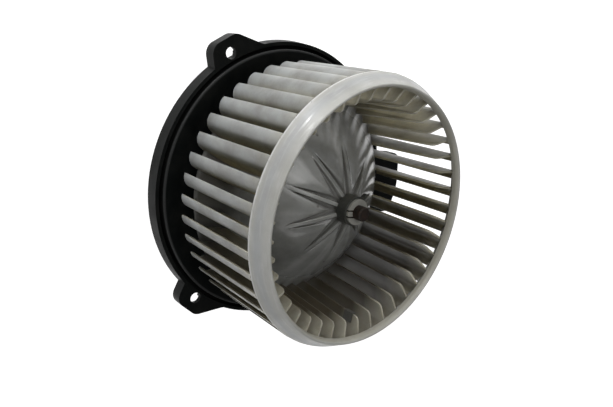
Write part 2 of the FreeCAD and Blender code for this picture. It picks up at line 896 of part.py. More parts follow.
def bent_wire(points, r, bend):
    """A round wire along straight runs joined by arcs."""
    edges = []
    here = points[0]
    for before, corner, after in zip(points, points[1:], points[2:]):
        back = (before - corner).normalize()
        on = (after - corner).normalize()
        half = back.getAngle(on) / 2
        reach = bend / math.tan(half)
        start = corner + back * reach
        stop = corner + on * reach
        middle = corner + (back + on).normalize() * (bend / math.sin(half) - bend)
        edges.append(line(here, start))
        edges.append(Part.Arc(start, middle, stop).toShape())
        here = stop
    edges.append(line(here, points[-1]))
    path = Part.Wire(edges)
    section = Part.Wire(Part.Circle(points[0], points[1] - points[0], r).toShape())
    return path.makePipeShell([section], True, True)


def brush_lead():
    """The braided copper lead from a brush to the plate."""
    y = brush_rear_y() - lead_back
    x = brush_half()[0]
    bend_x = x + lead_reach
    points = [
        Vector(x, y, brush_z),
        Vector(bend_x, y, brush_z),
        Vector(bend_x, y, brush_plate_front),
    ]
    return bent_wire(points, lead_r, lead_bend_r)


def choke():
    """A ferrite rod with its coil, lying on the brush plate."""
    z = brush_plate_front + choke_r
    core = Part.makeCylinder(choke_core_r, choke_core_long, Vector(0, 0, 0), Vector(1, 0, 0))
    coil = Part.makeCylinder(choke_r, choke_long, Vector((choke_core_long - choke_long) / 2, 0, 0), Vector(1, 0, 0))
    both = core.fuse(coil)
    both.rotate(Vector(0, 0, 0), Vector(0, 0, 1), choke_turn)
    both.translate(Vector(choke_x - choke_core_long / 2, choke_y, z))
    return both


def terminals():
    """The two flat tabs, from the brush plate out into the socket."""
    tip = connector_mouth_x - tab_recess
    low = brush_plate_front + seat_gap
    tabs = []
    for side in (-1, 1):
        y = side * tab_spacing / 2
        tab = slab([
            (tab_foot_x, y - tab_wide / 2, 0),
            (tip, y - tab_wide / 2, tab_corner_r),
            (tip, y + tab_wide / 2, tab_corner_r),
            (tab_foot_x, y + tab_wide / 2, 0),
        ], low, low + tab_thick)
        tabs.append(tab)
    return tabs


def connector_housing():
    """The moulded socket round the tabs, seated in the side of the rear cover."""
    half_y = connector_wide / 2
    half_z = connector_tall / 2
    z = connector_z
    body = block(connector_back_x, connector_mouth_x, -half_y, half_y, z - half_z, z + half_z)
    upright = [e for e in body.Edges if abs(e.tangentAt(e.FirstParameter).x) > 0.9]
    body = body.makeFillet(connector_corner_r, upright)
    hollow = block(connector_back_x + connector_web, connector_mouth_x + 1,
                   -half_y + connector_wall, half_y - connector_wall,
                   z - half_z + connector_wall, z + half_z - connector_wall)
    key = block(connector_back_x + connector_web, connector_mouth_x + 1, -key_wide / 2, key_wide / 2,
                z - half_z + connector_wall - key_deep, z)
    collar_x = tower_r + connector_lip_gap
    lip_y = half_y + connector_lip_high
    lip_z = half_z + connector_lip_high
    collar = block(collar_x, collar_x + connector_lip, -lip_y, lip_y, z - lip_z, z + lip_z)
    latch = slab([
        (connector_mouth_x - latch_end, -latch_wide / 2, 0),
        (connector_mouth_x - latch_start, -latch_wide / 2, 0),
        (connector_mouth_x - latch_start, latch_wide / 2, 0),
        (connector_mouth_x - latch_end, latch_wide / 2, 0),
    ], z + half_z, z + half_z + latch_high)
    shell = body.fuse([collar, latch]).cut([hollow, key])
    for tab in terminals():
        shell = shell.cut(tab)
    room = yoke_r + seat_gap
    can_space = rod(room, yoke_rear + yoke_notch_depth, yoke_front)
    bell_space = rod(room, cover_floor, yoke_rear + seat_gap)
    return shell.cut([can_space, bell_space]).removeSplitter()


def motor_cover():
    """The rear cup over the motor, with its screw lugs, vents and the connector's window."""
    inner = tower_r - tower_wall
    top = -dish_wall + dish_floor
    low = cover_floor - cover_wall
    cup = turned([
        (0, low, 0),
        (tower_r, low, cover_corner),
        (tower_r, top - cover_flange_thick, 0),
        (cover_flange_r, top - cover_flange_thick, 0),
        (cover_flange_r, top, 0),
        (inner, top, 0),
        (inner, cover_floor + cover_corner - cover_wall, 0),
        (inner - cover_corner + cover_wall, cover_floor, 0),
        (0, cover_floor, 0),
    ])
    for angle in cover_lug_angles:
        x, y = polar(cover_lug_circle_r, angle)
        lug = rod(cover_lug_r, top - cover_flange_thick, top, x, y)
        arm = block(tower_r, cover_lug_circle_r, -cover_lug_r, cover_lug_r, top - cover_flange_thick, top)
        cup = cup.fuse([lug, around(arm, angle)])
        cup = cup.cut(rod(cover_screw_r + screw_play, top - cover_flange_thick, top, x, y))
    half_y = connector_wide / 2 + seat_gap
    half_z = connector_tall / 2 + seat_gap
    window = block(yoke_r - 2, tower_r + 2, -half_y, half_y, connector_z - half_z, connector_z + half_z)
    vent = slab([
        (vent_r - vent_long / 2, -vent_wide / 2, vent_end_r),
        (vent_r + vent_long / 2, -vent_wide / 2, vent_end_r),
        (vent_r + vent_long / 2, vent_wide / 2, vent_end_r),
        (vent_r - vent_long / 2, vent_wide / 2, vent_end_r),
    ], low - 1, cover_floor + 1)
    return cup.cut([window] + ring_of(vent, vent_count)).removeSplitter()


def pad_with_pocket(corners, hole_x, hole_y):
    """A mounting pad flush with the rim, hollow from behind round a bored boss."""
    pad = slab(corners, -flange_depth, 0)
    face = Part.Face(rounded_wire(corners, lambda x, y: Vector(x, y, -flange_depth)))
    hollow = face.makeOffset2D(-ear_wall).extrude(Vector(0, 0, flange_depth - ear_skin))
    hollow = hollow.cut(rod(ear_boss_r, -flange_depth, 0, hole_x, hole_y))
    inside = rod(rim_r - rim_wall / 2, -flange_depth, 0)
    return pad.cut([hollow, inside])


def ear():
    """The upper mounting ear: a steep side, and a side that runs out along the rim."""
    rise = ear_hole_angle
    crown = ear_hole_circle_r + ear_crown
    corners = [
        (*polar(rim_r - pad_root, rise + ear_steep_root), 0),
        (*polar(crown, rise + ear_steep_top), ear_corner_r),
        (*polar(crown, rise - ear_long_top), ear_corner_r),
        (*polar(skirt_r, rise - ear_long_rim), ear_sweep_r),
        (*polar(rim_r - pad_root, rise - ear_long_root), 0),
    ]
    return pad_with_pocket(corners, *polar(ear_hole_circle_r, rise))


def lug():
    """The broad mounting lug."""
    corners = [
        (*polar(rim_r - pad_root, -lug_low_angle - lug_spread), 0),
        (*polar(lug_r - lug_bow, -lug_low_angle), lug_corner_r),
        (lug_r, 0, lug_edge_r),
        (*polar(lug_r - lug_bow, lug_high_angle), lug_corner_r),
        (*polar(rim_r - pad_root, lug_high_angle + lug_spread), 0),
    ]
    return pad_with_pocket(corners, ear_hole_circle_r, 0)


def flange():
    """The moulded motor holder: rim, groove, locating spigot, dish and the tower round the motor."""
    inner = tower_r - tower_wall
    opening = pocket_r() + pocket_wall + tower_mouth_gap
    under = dish_floor - dish_wall
    body = turned([
        (skirt_r, -flange_depth, 0),
        (rim_r, 0, 0),
        (rim_r - rim_wall, 0, 0),
        (rim_r - rim_wall, -groove_depth, 0),
        (spigot_r, -groove_depth, 0),
        (spigot_r, spigot_step, spigot_edge_r),
        (spigot_r - spigot_land, spigot_step, 0),
        (dish_outer_r, dish_floor, dish_round),
        (tower_r, dish_floor, 0),
        (tower_r, tower_top - tower_corner, 0),
        (tower_r - tower_corner, tower_top, 0),
        (opening, tower_top, 0),
        (opening, tower_top - plate_wall, 0),
        (inner - tower_corner + 1, tower_top - plate_wall, 0),
        (inner, tower_top - plate_wall - tower_corner + 1, 0),
        (inner, under, 0),
        (dish_outer_r + dish_root, under, 0),
        (spigot_r - spigot_wall, -flange_depth, 0),
    ])
    body = body.fuse([ear(), mirrored(ear()), lug()])
    rib = block(tower_r - 1, spigot_r - spigot_wall, -dish_rib_width / 2, dish_rib_width / 2,
                -flange_depth, under)
    body = body.fuse(ring_of(rib, dish_rib_count, dish_rib_first_angle))
    bosses = []
    holes = [
        rod(ear_hole_r, -flange_depth, spigot_step, *polar(ear_hole_circle_r, a))
        for a in (ear_hole_angle, -ear_hole_angle, 0)
    ]
    for angle in cover_lug_angles:
        x, y = polar(cover_lug_circle_r, angle)
        bosses.append(rod(cover_screw_r + cover_boss_wall, under, cover_boss_top, x, y))
        holes.append(rod(cover_screw_r, under - 1, cover_boss_top - cover_boss_skin, x, y))
        holes.append(rod(cover_lug_r + screw_room, -flange_depth - 1, under, x, y))
    room = rod(cover_flange_r + cover_room, -flange_depth - 1, under)
    body = body.fuse(bosses).cut(holes + [room])
    for angle in motor_screw_angles:
        x, y = polar(motor_screw_circle_r, angle)
        body = body.cut(rod(grommet_neck_r, tower_top - plate_wall - 1, tower_top + 1, x, y))
    return body.removeSplitter()


def grommet(angle):
    """A rubber grommet in the plate of the tower."""
    plate_low = tower_top - plate_wall
    bore = motor_screw_r + seat_gap + sleeve_wall
    ring = turned([
        (bore, yoke_front, 0),
        (grommet_flange_r, yoke_front, 0),
        (grommet_flange_r, plate_low, 0),
        (grommet_neck_r, plate_low, 0),
        (grommet_neck_r, tower_top, 0),
        (grommet_flange_r, tower_top, 0),
        (grommet_flange_r, tower_top + grommet_top, 0),
        (bore, tower_top + grommet_top, 0),
    ])
    ring.translate(Vector(*polar(motor_screw_circle_r, angle), 0))
    return ring


def spacer_sleeve(angle):
    """The steel sleeve through a grommet."""
    inner = motor_screw_r + seat_gap
    sleeve = tube(inner + sleeve_wall, inner, yoke_front, tower_top + grommet_top)
    sleeve.translate(Vector(*polar(motor_screw_circle_r, angle), 0))
    return sleeve


def motor_screw(angle):
    """A pan-head screw from the front into the can, with its washer face and cross slot."""
    seat = tower_top + grommet_top
    top = seat + motor_screw_head
    screw = turned([
        (0, yoke_front - motor_screw_bite, 0),
        (motor_screw_r, yoke_front - motor_screw_bite, 0),
        (motor_screw_r, seat, 0),
        (motor_screw_head_r, seat, 0),
        (motor_screw_head_r, top - screw_bevel, 0),
        (motor_screw_head_r - screw_bevel, top, 0),
        (0, top, 0),
    ])
    half = motor_screw_head_r * slot_share
    slot = block(-half, half, -slot_thick / 2, slot_thick / 2, top - slot_deep, top + 1)
    screw = screw.cut([slot, around(slot, 90)])
    screw.translate(Vector(*polar(motor_screw_circle_r, angle), 0))
    return screw


def cover_screw(angle):
    """A screw from behind through a lug of the rear cover."""
    seat = dish_floor - dish_wall - cover_flange_thick
    low = seat - cover_screw_head
    screw = turned([
        (0, low, 0),
        (cover_screw_head_r - screw_bevel, low, 0),
        (cover_screw_head_r, low + screw_bevel, 0),
        (cover_screw_head_r, seat, 0),
        (cover_screw_r, seat, 0),
        (cover_screw_r, seat + cover_screw_long - cover_flange_thick, 0),
        (0, seat + cover_screw_long - cover_flange_thick, 0),
    ])
    half = cover_screw_head_r * slot_share
    slot = block(-half, half, -cover_slot_thick / 2, cover_slot_thick / 2, low - 1, low + cover_slot_deep)
    screw = screw.cut([slot, around(slot, 90)])
    screw.translate(Vector(*polar(cover_lug_circle_r, angle), 0))
    return screw


def build():
    """Write every sub-part."""
    ring = impeller_ring()
    save("impeller_ring", ring)
    save("impeller_blades", impeller_blades(ring))
    save("impeller_hub", impeller_hub())
    save("hub_clamp", hub_clamp())
    save("balance_clip", balance_clip())
    save("motor_shaft", motor_shaft())
    save("shaft_retaining_ring", retaining_ring())
    save("front_thrust_washer", thrust_washer(front_washer_z()))
    save("rear_thrust_washer", thrust_washer(commutator_rear - washer_thick - seat_gap))
    save("armature_core", armature_core())
    save("armature_windings", armature_windings())
    save("commutator_core", commutator_body())
    save("commutator_bars", ring_of(commutator_bar(), commutator_bars))

    save("flange", flange())
    save("motor_yoke", motor_yoke())
    save("end_bell", end_bell())
    save("magnets", [magnet(), around(magnet(), 180)])
    save("magnet_springs", ring_of(magnet_spring(), 2, 90))
    save("front_bearing", bearing(front_bearing_z))
    save("front_bearing_retainer", bearing_retainer(front_bearing_z, -1))
    save("rear_bearing", bearing(rear_bearing_z))
    save("rear_bearing_retainer", bearing_retainer(rear_bearing_z, 1))
    save("brush_plate", brush_plate())
    save("brush_tubes", [brush_tube(), mirrored(brush_tube())])
    save("brush_left", brush())
    save("brush_right", mirrored(brush()))
    save("brush_spring_left", brush_spring())
    save("brush_spring_right", mirrored(brush_spring()))
    save("brush_lead_left", brush_lead())
    save("brush_lead_right", mirrored(brush_lead()))
    save("choke_coils", [choke(), mirrored(choke())])
    save("terminals", terminals())
    save("connector_housing", connector_housing())
    save("motor_cover", motor_cover())
    save("isolation_grommets", [grommet(a) for a in motor_screw_angles])
    save("spacer_sleeves", [spacer_sleeve(a) for a in motor_screw_angles])
    save("motor_screws", [motor_screw(a) for a in motor_screw_angles])
    save("cover_screws", [cover_screw(a) for a in cover_lug_angles])


os.makedirs("parts", exist_ok=True)
build()
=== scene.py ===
import bpy
import bmesh
import math
from mathutils import Matrix, Vector


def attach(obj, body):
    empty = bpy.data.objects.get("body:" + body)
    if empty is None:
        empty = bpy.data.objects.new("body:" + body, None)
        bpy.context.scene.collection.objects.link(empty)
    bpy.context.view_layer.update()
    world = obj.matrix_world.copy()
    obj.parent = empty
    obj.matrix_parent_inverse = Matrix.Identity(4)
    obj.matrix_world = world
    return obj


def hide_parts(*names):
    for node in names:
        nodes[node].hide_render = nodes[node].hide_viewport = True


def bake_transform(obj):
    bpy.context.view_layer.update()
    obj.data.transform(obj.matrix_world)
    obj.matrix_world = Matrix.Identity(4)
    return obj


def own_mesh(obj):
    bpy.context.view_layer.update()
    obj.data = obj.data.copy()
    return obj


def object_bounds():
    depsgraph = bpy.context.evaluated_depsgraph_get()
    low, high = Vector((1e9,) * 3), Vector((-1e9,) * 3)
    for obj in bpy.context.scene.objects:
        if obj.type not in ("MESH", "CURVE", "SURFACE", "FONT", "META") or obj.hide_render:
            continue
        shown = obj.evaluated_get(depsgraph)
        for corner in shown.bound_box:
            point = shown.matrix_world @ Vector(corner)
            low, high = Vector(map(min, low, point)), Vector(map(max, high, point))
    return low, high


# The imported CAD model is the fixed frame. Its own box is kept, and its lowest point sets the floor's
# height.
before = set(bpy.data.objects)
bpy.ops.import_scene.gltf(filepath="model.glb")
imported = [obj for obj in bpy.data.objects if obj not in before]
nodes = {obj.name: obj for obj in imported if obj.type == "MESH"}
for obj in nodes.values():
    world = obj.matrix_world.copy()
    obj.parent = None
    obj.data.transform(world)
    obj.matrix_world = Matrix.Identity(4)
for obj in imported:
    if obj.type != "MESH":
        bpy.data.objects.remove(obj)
cad_low, cad_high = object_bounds()

# The studio. The fan stands on its rear cup on a plain white table, and the camera looks down into the
# inlet, rolled as in the photograph. Four soft lamps light it: a small one from the picture's upper left,
# a broad one from its top, one from beside the camera and a weak one from below.
scene = bpy.context.scene
scene.view_settings.view_transform = "Standard"


def in_scene(name, data):
    """A new object, put in the scene."""
    made = bpy.data.objects.new(name, data)
    scene.collection.objects.link(made)
    return made


camera_data = bpy.data.cameras.new("camera")
camera_data.lens = 33.64
camera_data.sensor_width = 36.0
camera_data.clip_start = 0.01
to_right = Vector((0.7483, 0.1741, 0.6401))
to_top = Vector((0.0, 0.9649, -0.2624))
to_eye = Vector((-0.6634, 0.1964, 0.7221))
placing = Matrix((to_right, to_top, to_eye)).transposed().to_4x4()
placing.translation = Vector((-0.2252, 0.0603, 0.2706))
camera = in_scene("camera", camera_data)
camera.matrix_world = placing
scene.camera = camera


def lamp(name, place, target, size, watts):
    """A square soft lamp that faces a point."""
    data = bpy.data.lights.new(name, "AREA")
    data.shape = "SQUARE"
    data.size = size
    data.energy = watts
    holder = in_scene(name, data)
    holder.location = place
    holder.rotation_euler = (Vector(target) - Vector(place)).to_track_quat("-Z", "Y").to_euler()


lamp("window_lamp", (-0.46, 0.76, 0.10), target=(0.0, 0.0, 0.03), size=0.26, watts=5.2)
lamp("ceiling_lamp", (0.30, 0.80, 0.20), target=(0.0, 0.0, 0.03), size=0.9, watts=3.8)
lamp("front_lamp", (-0.32, 0.34, 0.74), target=(0.0, 0.0, 0.03), size=0.5, watts=2.3)
lamp("low_fill_lamp", (-0.30, -0.55, 0.38), target=(0.0, 0.0, 0.05), size=0.5, watts=1.6)


def feed(tree, socket, value):
    """Gives an input a value of its own, or links another node's output to it."""
    if isinstance(value, bpy.types.NodeSocket):
        tree.links.new(value, socket)
    else:
        socket.default_value = value


def add(tree, kind, **values):
    """A new node. Values feed its inputs, whose names are written with _ for a blank."""
    made = tree.nodes.new(kind)
    for label, value in values.items():
        feed(tree, made.inputs[label.replace("_", " ")], value)
    return made


def maths(tree, operation, *values):
    """The result of a step on numbers. Each value is a number or another node's output."""
    made = add(tree, "ShaderNodeMath")
    made.operation = operation
    for socket, value in zip(made.inputs, values):
        feed(tree, socket, value)
    return made.outputs[0]


def between(tree, value, start, stop, low=0.0, high=1.0, smooth=False):
    """A number that goes from low to high as a value goes from start to stop, and stays there past them."""
    made = add(tree, "ShaderNodeMapRange", Value=value, From_Min=start, From_Max=stop, To_Min=low,
               To_Max=high)
    if smooth:
        made.interpolation_type = "SMOOTHSTEP"
    return made.outputs[0]


def seen_or_mirrored(tree):
    """Two masks: one for what the camera meets directly or through glass, one that adds mirror images."""
    rays = add(tree, "ShaderNodeLightPath").outputs
    direct = maths(tree, "MAXIMUM", rays["Is Camera Ray"], rays["Is Transmission Ray"])
    return direct, maths(tree, "MAXIMUM", direct, rays["Is Glossy Ray"])


world = bpy.data.worlds.new("studio")
world.use_nodes = True
scene.world = world
tree = world.node_tree
background = tree.nodes["Background"]
background.inputs["Color"].default_value = (1.0, 1.0, 1.0, 1.0)
world_light, world_seen = 0.10, 1.0
direct, with_mirrors = seen_or_mirrored(tree)
feed(tree, background.inputs["Strength"], between(tree, direct, 0.0, 1.0, world_light, world_seen))

reach = 6.0
floor_mesh = bpy.data.meshes.new("floor")
floor_mesh.from_pydata(
    [(x, y, cad_low.z) for x, y in ((-reach, -reach), (reach, -reach), (reach, reach), (-reach, reach))],
    [], [(0, 1, 2, 3)])
floor = in_scene("floor", floor_mesh)
table_top = bpy.data.materials.new("white table")
table_top.use_nodes = True
tree = table_top.node_tree
table_glow = 0.93
direct, with_mirrors = seen_or_mirrored(tree)
surface = tree.nodes["Principled BSDF"]
surface.inputs["Base Color"].default_value = (0.5, 0.5, 0.5, 1.0)
surface.inputs["Roughness"].default_value = 0.9
glow = add(tree, "ShaderNodeEmission", Strength=maths(tree, "MULTIPLY", with_mirrors, table_glow))
both = add(tree, "ShaderNodeAddShader")
for socket, layer in zip(both.inputs, (surface, glow)):
    tree.links.new(layer.outputs[0], socket)
tree.links.new(both.outputs[0], tree.nodes["Material Output"].inputs["Surface"])
floor.data.materials.append(table_top)


# The motor's can and end plate. Deep-drawn steel, zinc plated, with a pocket at each end for a bearing.
# The can hangs in the holder's tower on three screws. Only slivers of it show, through the vents.
def new_group(name, numbers, outputs):
    """A shader node group that takes a place and named numbers, with their defaults, and puts out numbers."""
    group = bpy.data.node_groups.new(name, "ShaderNodeTree")
    group.interface.new_socket("Vector", in_out="INPUT", socket_type="NodeSocketVector")
    for label, default in numbers.items():
        socket = group.interface.new_socket(label, in_out="INPUT", socket_type="NodeSocketFloat")
        socket.default_value = default
    for label in outputs:
        group.interface.new_socket(label, in_out="OUTPUT", socket_type="NodeSocketFloat")
    return group, add(group, "NodeGroupInput").outputs, add(group, "NodeGroupOutput").inputs


def noise(tree, place, size, detail, **values):
    """The level of a cloudy pattern at a place. A greater size number makes a finer pattern."""
    made = add(tree, "ShaderNodeTexNoise", Vector=place, Scale=size, Detail=detail, **values)
    return made.outputs["Fac"]


def shut_in(tree, depth, samples, start, stop):
    """A mask that rises from 0 to 1 where the surface is more and more closed in."""
    corners = add(tree, "ShaderNodeAmbientOcclusion", Distance=depth)
    corners.samples = samples
    return between(tree, corners.outputs["AO"], start, stop)


def vectors(tree, operation, *values):
    """A node for a step on vectors, which puts out a vector or a number."""
    made = add(tree, "ShaderNodeVectorMath")
    made.operation = operation
    for socket, value in zip(made.inputs, values):
        feed(tree, socket, value)
    return made


def grime_and_corner_shade_group():
    """Blotches of dirt, with painted shade that darkens the closed-in corners. Puts out a mask from 0 to 1.
    """
    group, inside, outside = new_group("settled grime and corner shade", {"Blotch Size": 90.0}, ["Mask"])
    corner_depth, corner_share = 0.006, 0.55
    # The corner part of the mask is painted shade, darker where the surface is closed in.
    closed = shut_in(group, corner_depth, samples=4, start=0.95, stop=0.25)
    blotches = noise(group, inside["Vector"], inside["Blotch Size"], 6.0, Roughness=0.62)
    total = maths(group, "MULTIPLY_ADD", closed, corner_share, between(group, blotches, 0.42, 0.72))
    total.node.use_clamp = True
    group.links.new(total, outside["Mask"])
    return group


def wear_group():
    """Rubbed edges: where a rounded normal leaves the real one. Puts out a mask from 0 to 1."""
    group, inside, outside = new_group("rubbed edges", {"Width": 0.0006}, ["Mask"])
    smoothed = add(group, "ShaderNodeBevel", Radius=inside["Width"])
    smoothed.samples = 4
    real = add(group, "ShaderNodeNewGeometry")
    apart = vectors(group, "DOT_PRODUCT", smoothed.outputs[0], real.outputs["Normal"])
    edge = between(group, apart.outputs["Value"], 0.995, 0.88)
    scratch_size = 400.0
    patchy = between(group, noise(group, inside["Vector"], scratch_size, 3.0), 0.4, 0.65)
    group.links.new(maths(group, "MULTIPLY", edge, patchy), outside["Mask"])
    return group


def grain_group():
    """The fine skin of a moulding or casting, with a few longer waves. Puts out a height from 0 to 1 and
    the waves alone, as a tone."""
    group, inside, outside = new_group("skin grain", {"Grain Size": 2500.0, "Wave Size": 120.0},
                                       ["Height", "Tone"])
    fine = noise(group, inside["Vector"], inside["Grain Size"], 2.0)
    wide = noise(group, inside["Vector"], inside["Wave Size"], 4.0)
    height = add(group, "ShaderNodeMix", Factor=0.5, A=fine, B=wide)
    group.links.new(height.outputs["Result"], outside["Height"])
    group.links.new(wide, outside["Tone"])
    return group


grime_and_corner_shade = grime_and_corner_shade_group()
wear = wear_group()
grain = grain_group()


def use(tree, group, coords, **values):
    """Places a shared group in a material, with this material's own values."""
    placed = add(tree, "ShaderNodeGroup")
    placed.node_tree = group
    for label, value in (("Vector", coords), *values.items()):
        feed(tree, placed.inputs[label.replace("_", " ")], value)
    return placed.outputs


def blended(tree, mask, under, over, most=1.0):
    """A colour that goes from one to another as the mask rises. Each is a colour or an output."""
    mix = add(tree, "ShaderNodeMix")
    mix.data_type = "RGBA"
    feed(tree, mix.inputs[0], maths(tree, "MULTIPLY", mask, most))
    for socket, value in ((mix.inputs[6], under), (mix.inputs[7], over)):
        feed(tree, socket, (*value, 1.0) if isinstance(value, tuple) else value)
    return mix.outputs[2]


def finish(name, colour, shade, roughness, metallic=0.0, grain_size=2500.0, wave_size=120.0, depth=0.00002,
           dirt_and_shade=(0.05, 0.045, 0.035), dirt_and_shade_most=0.5, dirt_size=90.0, worn=None, worn_most=0.6,
           worn_width=0.0006, rough_spread=0.12, mirror=0.5, soft=0.0, coat=None):
    """A real surface: two tones that drift into each other, grime with painted shade in its corners, rubbed
    edges and a bumpy skin. A coat lays its own paint over the tones, and can give a mask of where the surface
    is smoother."""
    made = bpy.data.materials.new(name)
    made.use_nodes = True
    tree = made.node_tree
    coords = add(tree, "ShaderNodeTexCoord").outputs["Object"]
    skin = use(tree, grain, coords, Grain_Size=grain_size, Wave_Size=wave_size)
    paint = blended(tree, between(tree, skin["Tone"], 0.35, 0.68), colour, shade)
    shine = None
    if coat:
        paint, shine = coat(tree, coords, paint)
    # Dirt blotches and painted shade in the corners, both in the dirt colour.
    soil_and_shade = use(tree, grime_and_corner_shade, coords, Blotch_Size=dirt_size)["Mask"]
    paint = blended(tree, soil_and_shade, paint, dirt_and_shade, dirt_and_shade_most)
    if worn:
        edges = use(tree, wear, coords, Width=worn_width)["Mask"]
        paint = blended(tree, edges, paint, worn, worn_most)
    rough = between(tree, soil_and_shade, 0.0, 1.0, roughness, min(1.0, roughness + rough_spread))
    if shine:
        shine_change = -0.23
        rough = maths(tree, "MULTIPLY_ADD", shine, shine_change, rough)
    bump = add(tree, "ShaderNodeBump", Strength=1.0, Distance=depth, Height=skin["Height"])
    soft_radius, soft_depth = (1.0, 0.95, 0.8), 0.003
    shader = tree.nodes["Principled BSDF"]
    for label, value in (
            ("Base Color", paint), ("Roughness", rough), ("Metallic", metallic),
            ("Specular IOR Level", mirror), ("Subsurface Weight", soft), ("Subsurface Radius", soft_radius),
            ("Subsurface Scale", soft_depth), ("Normal", bump.outputs[0])):
        feed(tree, shader.inputs[label], value)
    return made


def dress(names, made):
    """Gives CAD nodes a finish."""
    for name in names:
        nodes[name].data.materials.clear()
        nodes[name].data.materials.append(made)


def fitted(piece, body, node_name):
    """Hands a finished piece over: the body it rides on and the CAD node it stands for."""
    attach(piece, body)
    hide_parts(node_name)


def rounded(piece, width, angle=32.0):
    """Rounds the edges that are sharper than the angle."""
    edges = piece.modifiers.new("rounded edges", "BEVEL")
    edges.width = width
    edges.segments = 2
    edges.limit_method = "ANGLE"
    edges.angle_limit = math.radians(angle)
    edges.harden_normals = True
    edges.use_clamp_overlap = True


def hollowed(mesh, x, y, r, low, high, clear_r):
    """The mesh with an upright round pocket cut into it, which stays farther than clear_r from the shaft."""
    work = bmesh.new()
    bmesh.ops.create_cone(work, cap_ends=True, segments=48, radius1=r, radius2=r, depth=high - low,
                          matrix=Matrix.Translation((x, y, (low + high) / 2)))
    for vert in work.verts:
        push = max(1.0, clear_r / vert.co.xy.length)
        vert.co.x *= push
        vert.co.y *= push
    plug_mesh = bpy.data.meshes.new("plug")
    work.to_mesh(plug_mesh)
    work.free()
    plug = in_scene("plug", plug_mesh)
    blank = in_scene("blank", mesh)
    cut = blank.modifiers.new("pocket", "BOOLEAN")
    cut.operation = "DIFFERENCE"
    cut.object = plug
    bpy.context.view_layer.update()
    result = bpy.data.meshes.new_from_object(blank.evaluated_get(bpy.context.evaluated_depsgraph_get()))
    for piece in (plug, blank):
        bpy.data.objects.remove(piece)
    return result


def turned_edges(node_name, name, body, made, round_over, angle=32.0, pockets=()):
    """A finished part in place of a CAD node: its faces merged, shaded smooth, with its edges rounded."""
    mesh = nodes[node_name].data.copy()
    weld_gap, flat_angle = 2e-6, math.radians(0.6)
    work = bmesh.new()
    work.from_mesh(mesh)
    bmesh.ops.remove_doubles(work, verts=work.verts, dist=weld_gap)
    bmesh.ops.dissolve_limit(work, angle_limit=flat_angle, verts=work.verts, edges=work.edges)
    work.to_mesh(mesh)
    work.free()
    for pocket in pockets:
        mesh = hollowed(mesh, *pocket)
    mesh.materials.clear()
    mesh.materials.append(made)
    mesh.shade_smooth()
    mesh.set_sharp_from_angle(angle=math.radians(angle))
    piece = in_scene(name, mesh)
    rounded(piece, round_over, angle)
    fitted(piece, body, node_name)


zinc = finish("zinc plate", (0.46, 0.46, 0.44), (0.36, 0.36, 0.35), 0.34, metallic=1.0, grain_size=900.0,
              depth=0.00001, dirt_and_shade=(0.09, 0.08, 0.06), worn=(0.62, 0.62, 0.60))
turned_edges("motor_yoke", "motor_can", "motor_frame", zinc, 0.0003)
turned_edges("end_bell", "motor_end_plate", "motor_frame", zinc, 0.0003)

# The bearings. Sintered bronze bushes with barrelled outsides, soaked in oil, that align themselves in
# the pockets. A dished spring washer holds each one.
bronze = finish("oiled bronze", (0.52, 0.36, 0.16), (0.40, 0.27, 0.12), 0.38, metallic=1.0)
dark_spring = finish("blued spring steel", (0.075, 0.075, 0.072), (0.05, 0.048, 0.045), 0.42, metallic=0.7,
                     grain_size=1500.0, depth=0.00001, dirt_and_shade=(0.06, 0.05, 0.035), worn=(0.30, 0.30, 0.29))
dress(["front_bearing", "rear_bearing"], bronze)
dress(["front_bearing_retainer", "rear_bearing_retainer"], dark_spring)

# The magnets. Two ground ferrite arcs, pushed apart against the can's wall by two sprung strips.
ferrite = finish("ground ferrite", (0.09, 0.09, 0.095), (0.06, 0.06, 0.065), 0.62, grain_size=1800.0)
dress(["magnets"], ferrite)
dress(["magnet_springs"], dark_spring)


# The shaft. Ground steel with a chamfer at each end, pressed into the armature. Its front end stands out
# of the wheel's boss and has gone rusty brown.
def mm(points):
    """Corners in millimetres as metres."""
    return [(r / 1000, z / 1000) for r, z in points]


def softened(corners, steps=6):
    """A closed outline with rounded corners, from corners (radius, height, rounding)."""
    out = []
    for i, (r, z, rounding) in enumerate(corners):
        here = Vector((r, z))
        if rounding == 0:
            out.append((r, z))
            continue
        before = Vector(corners[i - 1][:2]) - here
        after = Vector(corners[(i + 1) % len(corners)][:2]) - here
        half = before.angle(after) / 2
        reach = rounding / math.tan(half)
        inward = (before.normalized() + after.normalized()).normalized()
        centre = here + inward * (rounding / math.sin(half))
        start = here + before.normalized() * reach - centre
        stop = here + after.normalized() * reach - centre
        turn = start.angle_signed(stop)
        for k in range(steps + 1):
            spoke = Matrix.Rotation(-turn * k / steps, 2) @ start
            out.append(tuple(centre + spoke))
    return out


def smooth_mesh(work, name, made, sharp):
    """The worked faces as a closed smooth mesh, whose edges stay sharp past an angle in degrees."""
    bmesh.ops.recalc_face_normals(work, faces=work.faces)
    mesh = bpy.data.meshes.new(name)
    work.to_mesh(mesh)
    work.free()
    if made:
        mesh.materials.append(made)
    mesh.shade_smooth()
    mesh.set_sharp_from_angle(angle=math.radians(sharp))
    return mesh


def circle(work, r, z, angles):
    """A ring of corners about the shaft."""
    return [work.verts.new((r * math.cos(a), r * math.sin(a), z)) for a in angles]


def lathe(name, outline, around, made, sharp=40.0):
    """A closed surface of revolution about the shaft, from an outline of (radius, height)."""
    work = bmesh.new()
    angles = [math.tau * k / around for k in range(around)]
    rings = []
    for r, z in outline:
        if r == 0:
            rings.append([work.verts.new((0, 0, z))] * around)
        else:
            rings.append(circle(work, r, z, angles))
    for low, high in zip(rings, rings[1:] + rings[:1]):
        for k in range(around):
            corners = [low[k], low[(k + 1) % around], high[(k + 1) % around], high[k]]
            single = list(dict.fromkeys(corners))
            if len(single) > 2:
                work.faces.new(single)
    return in_scene(name, smooth_mesh(work, name, made, sharp))


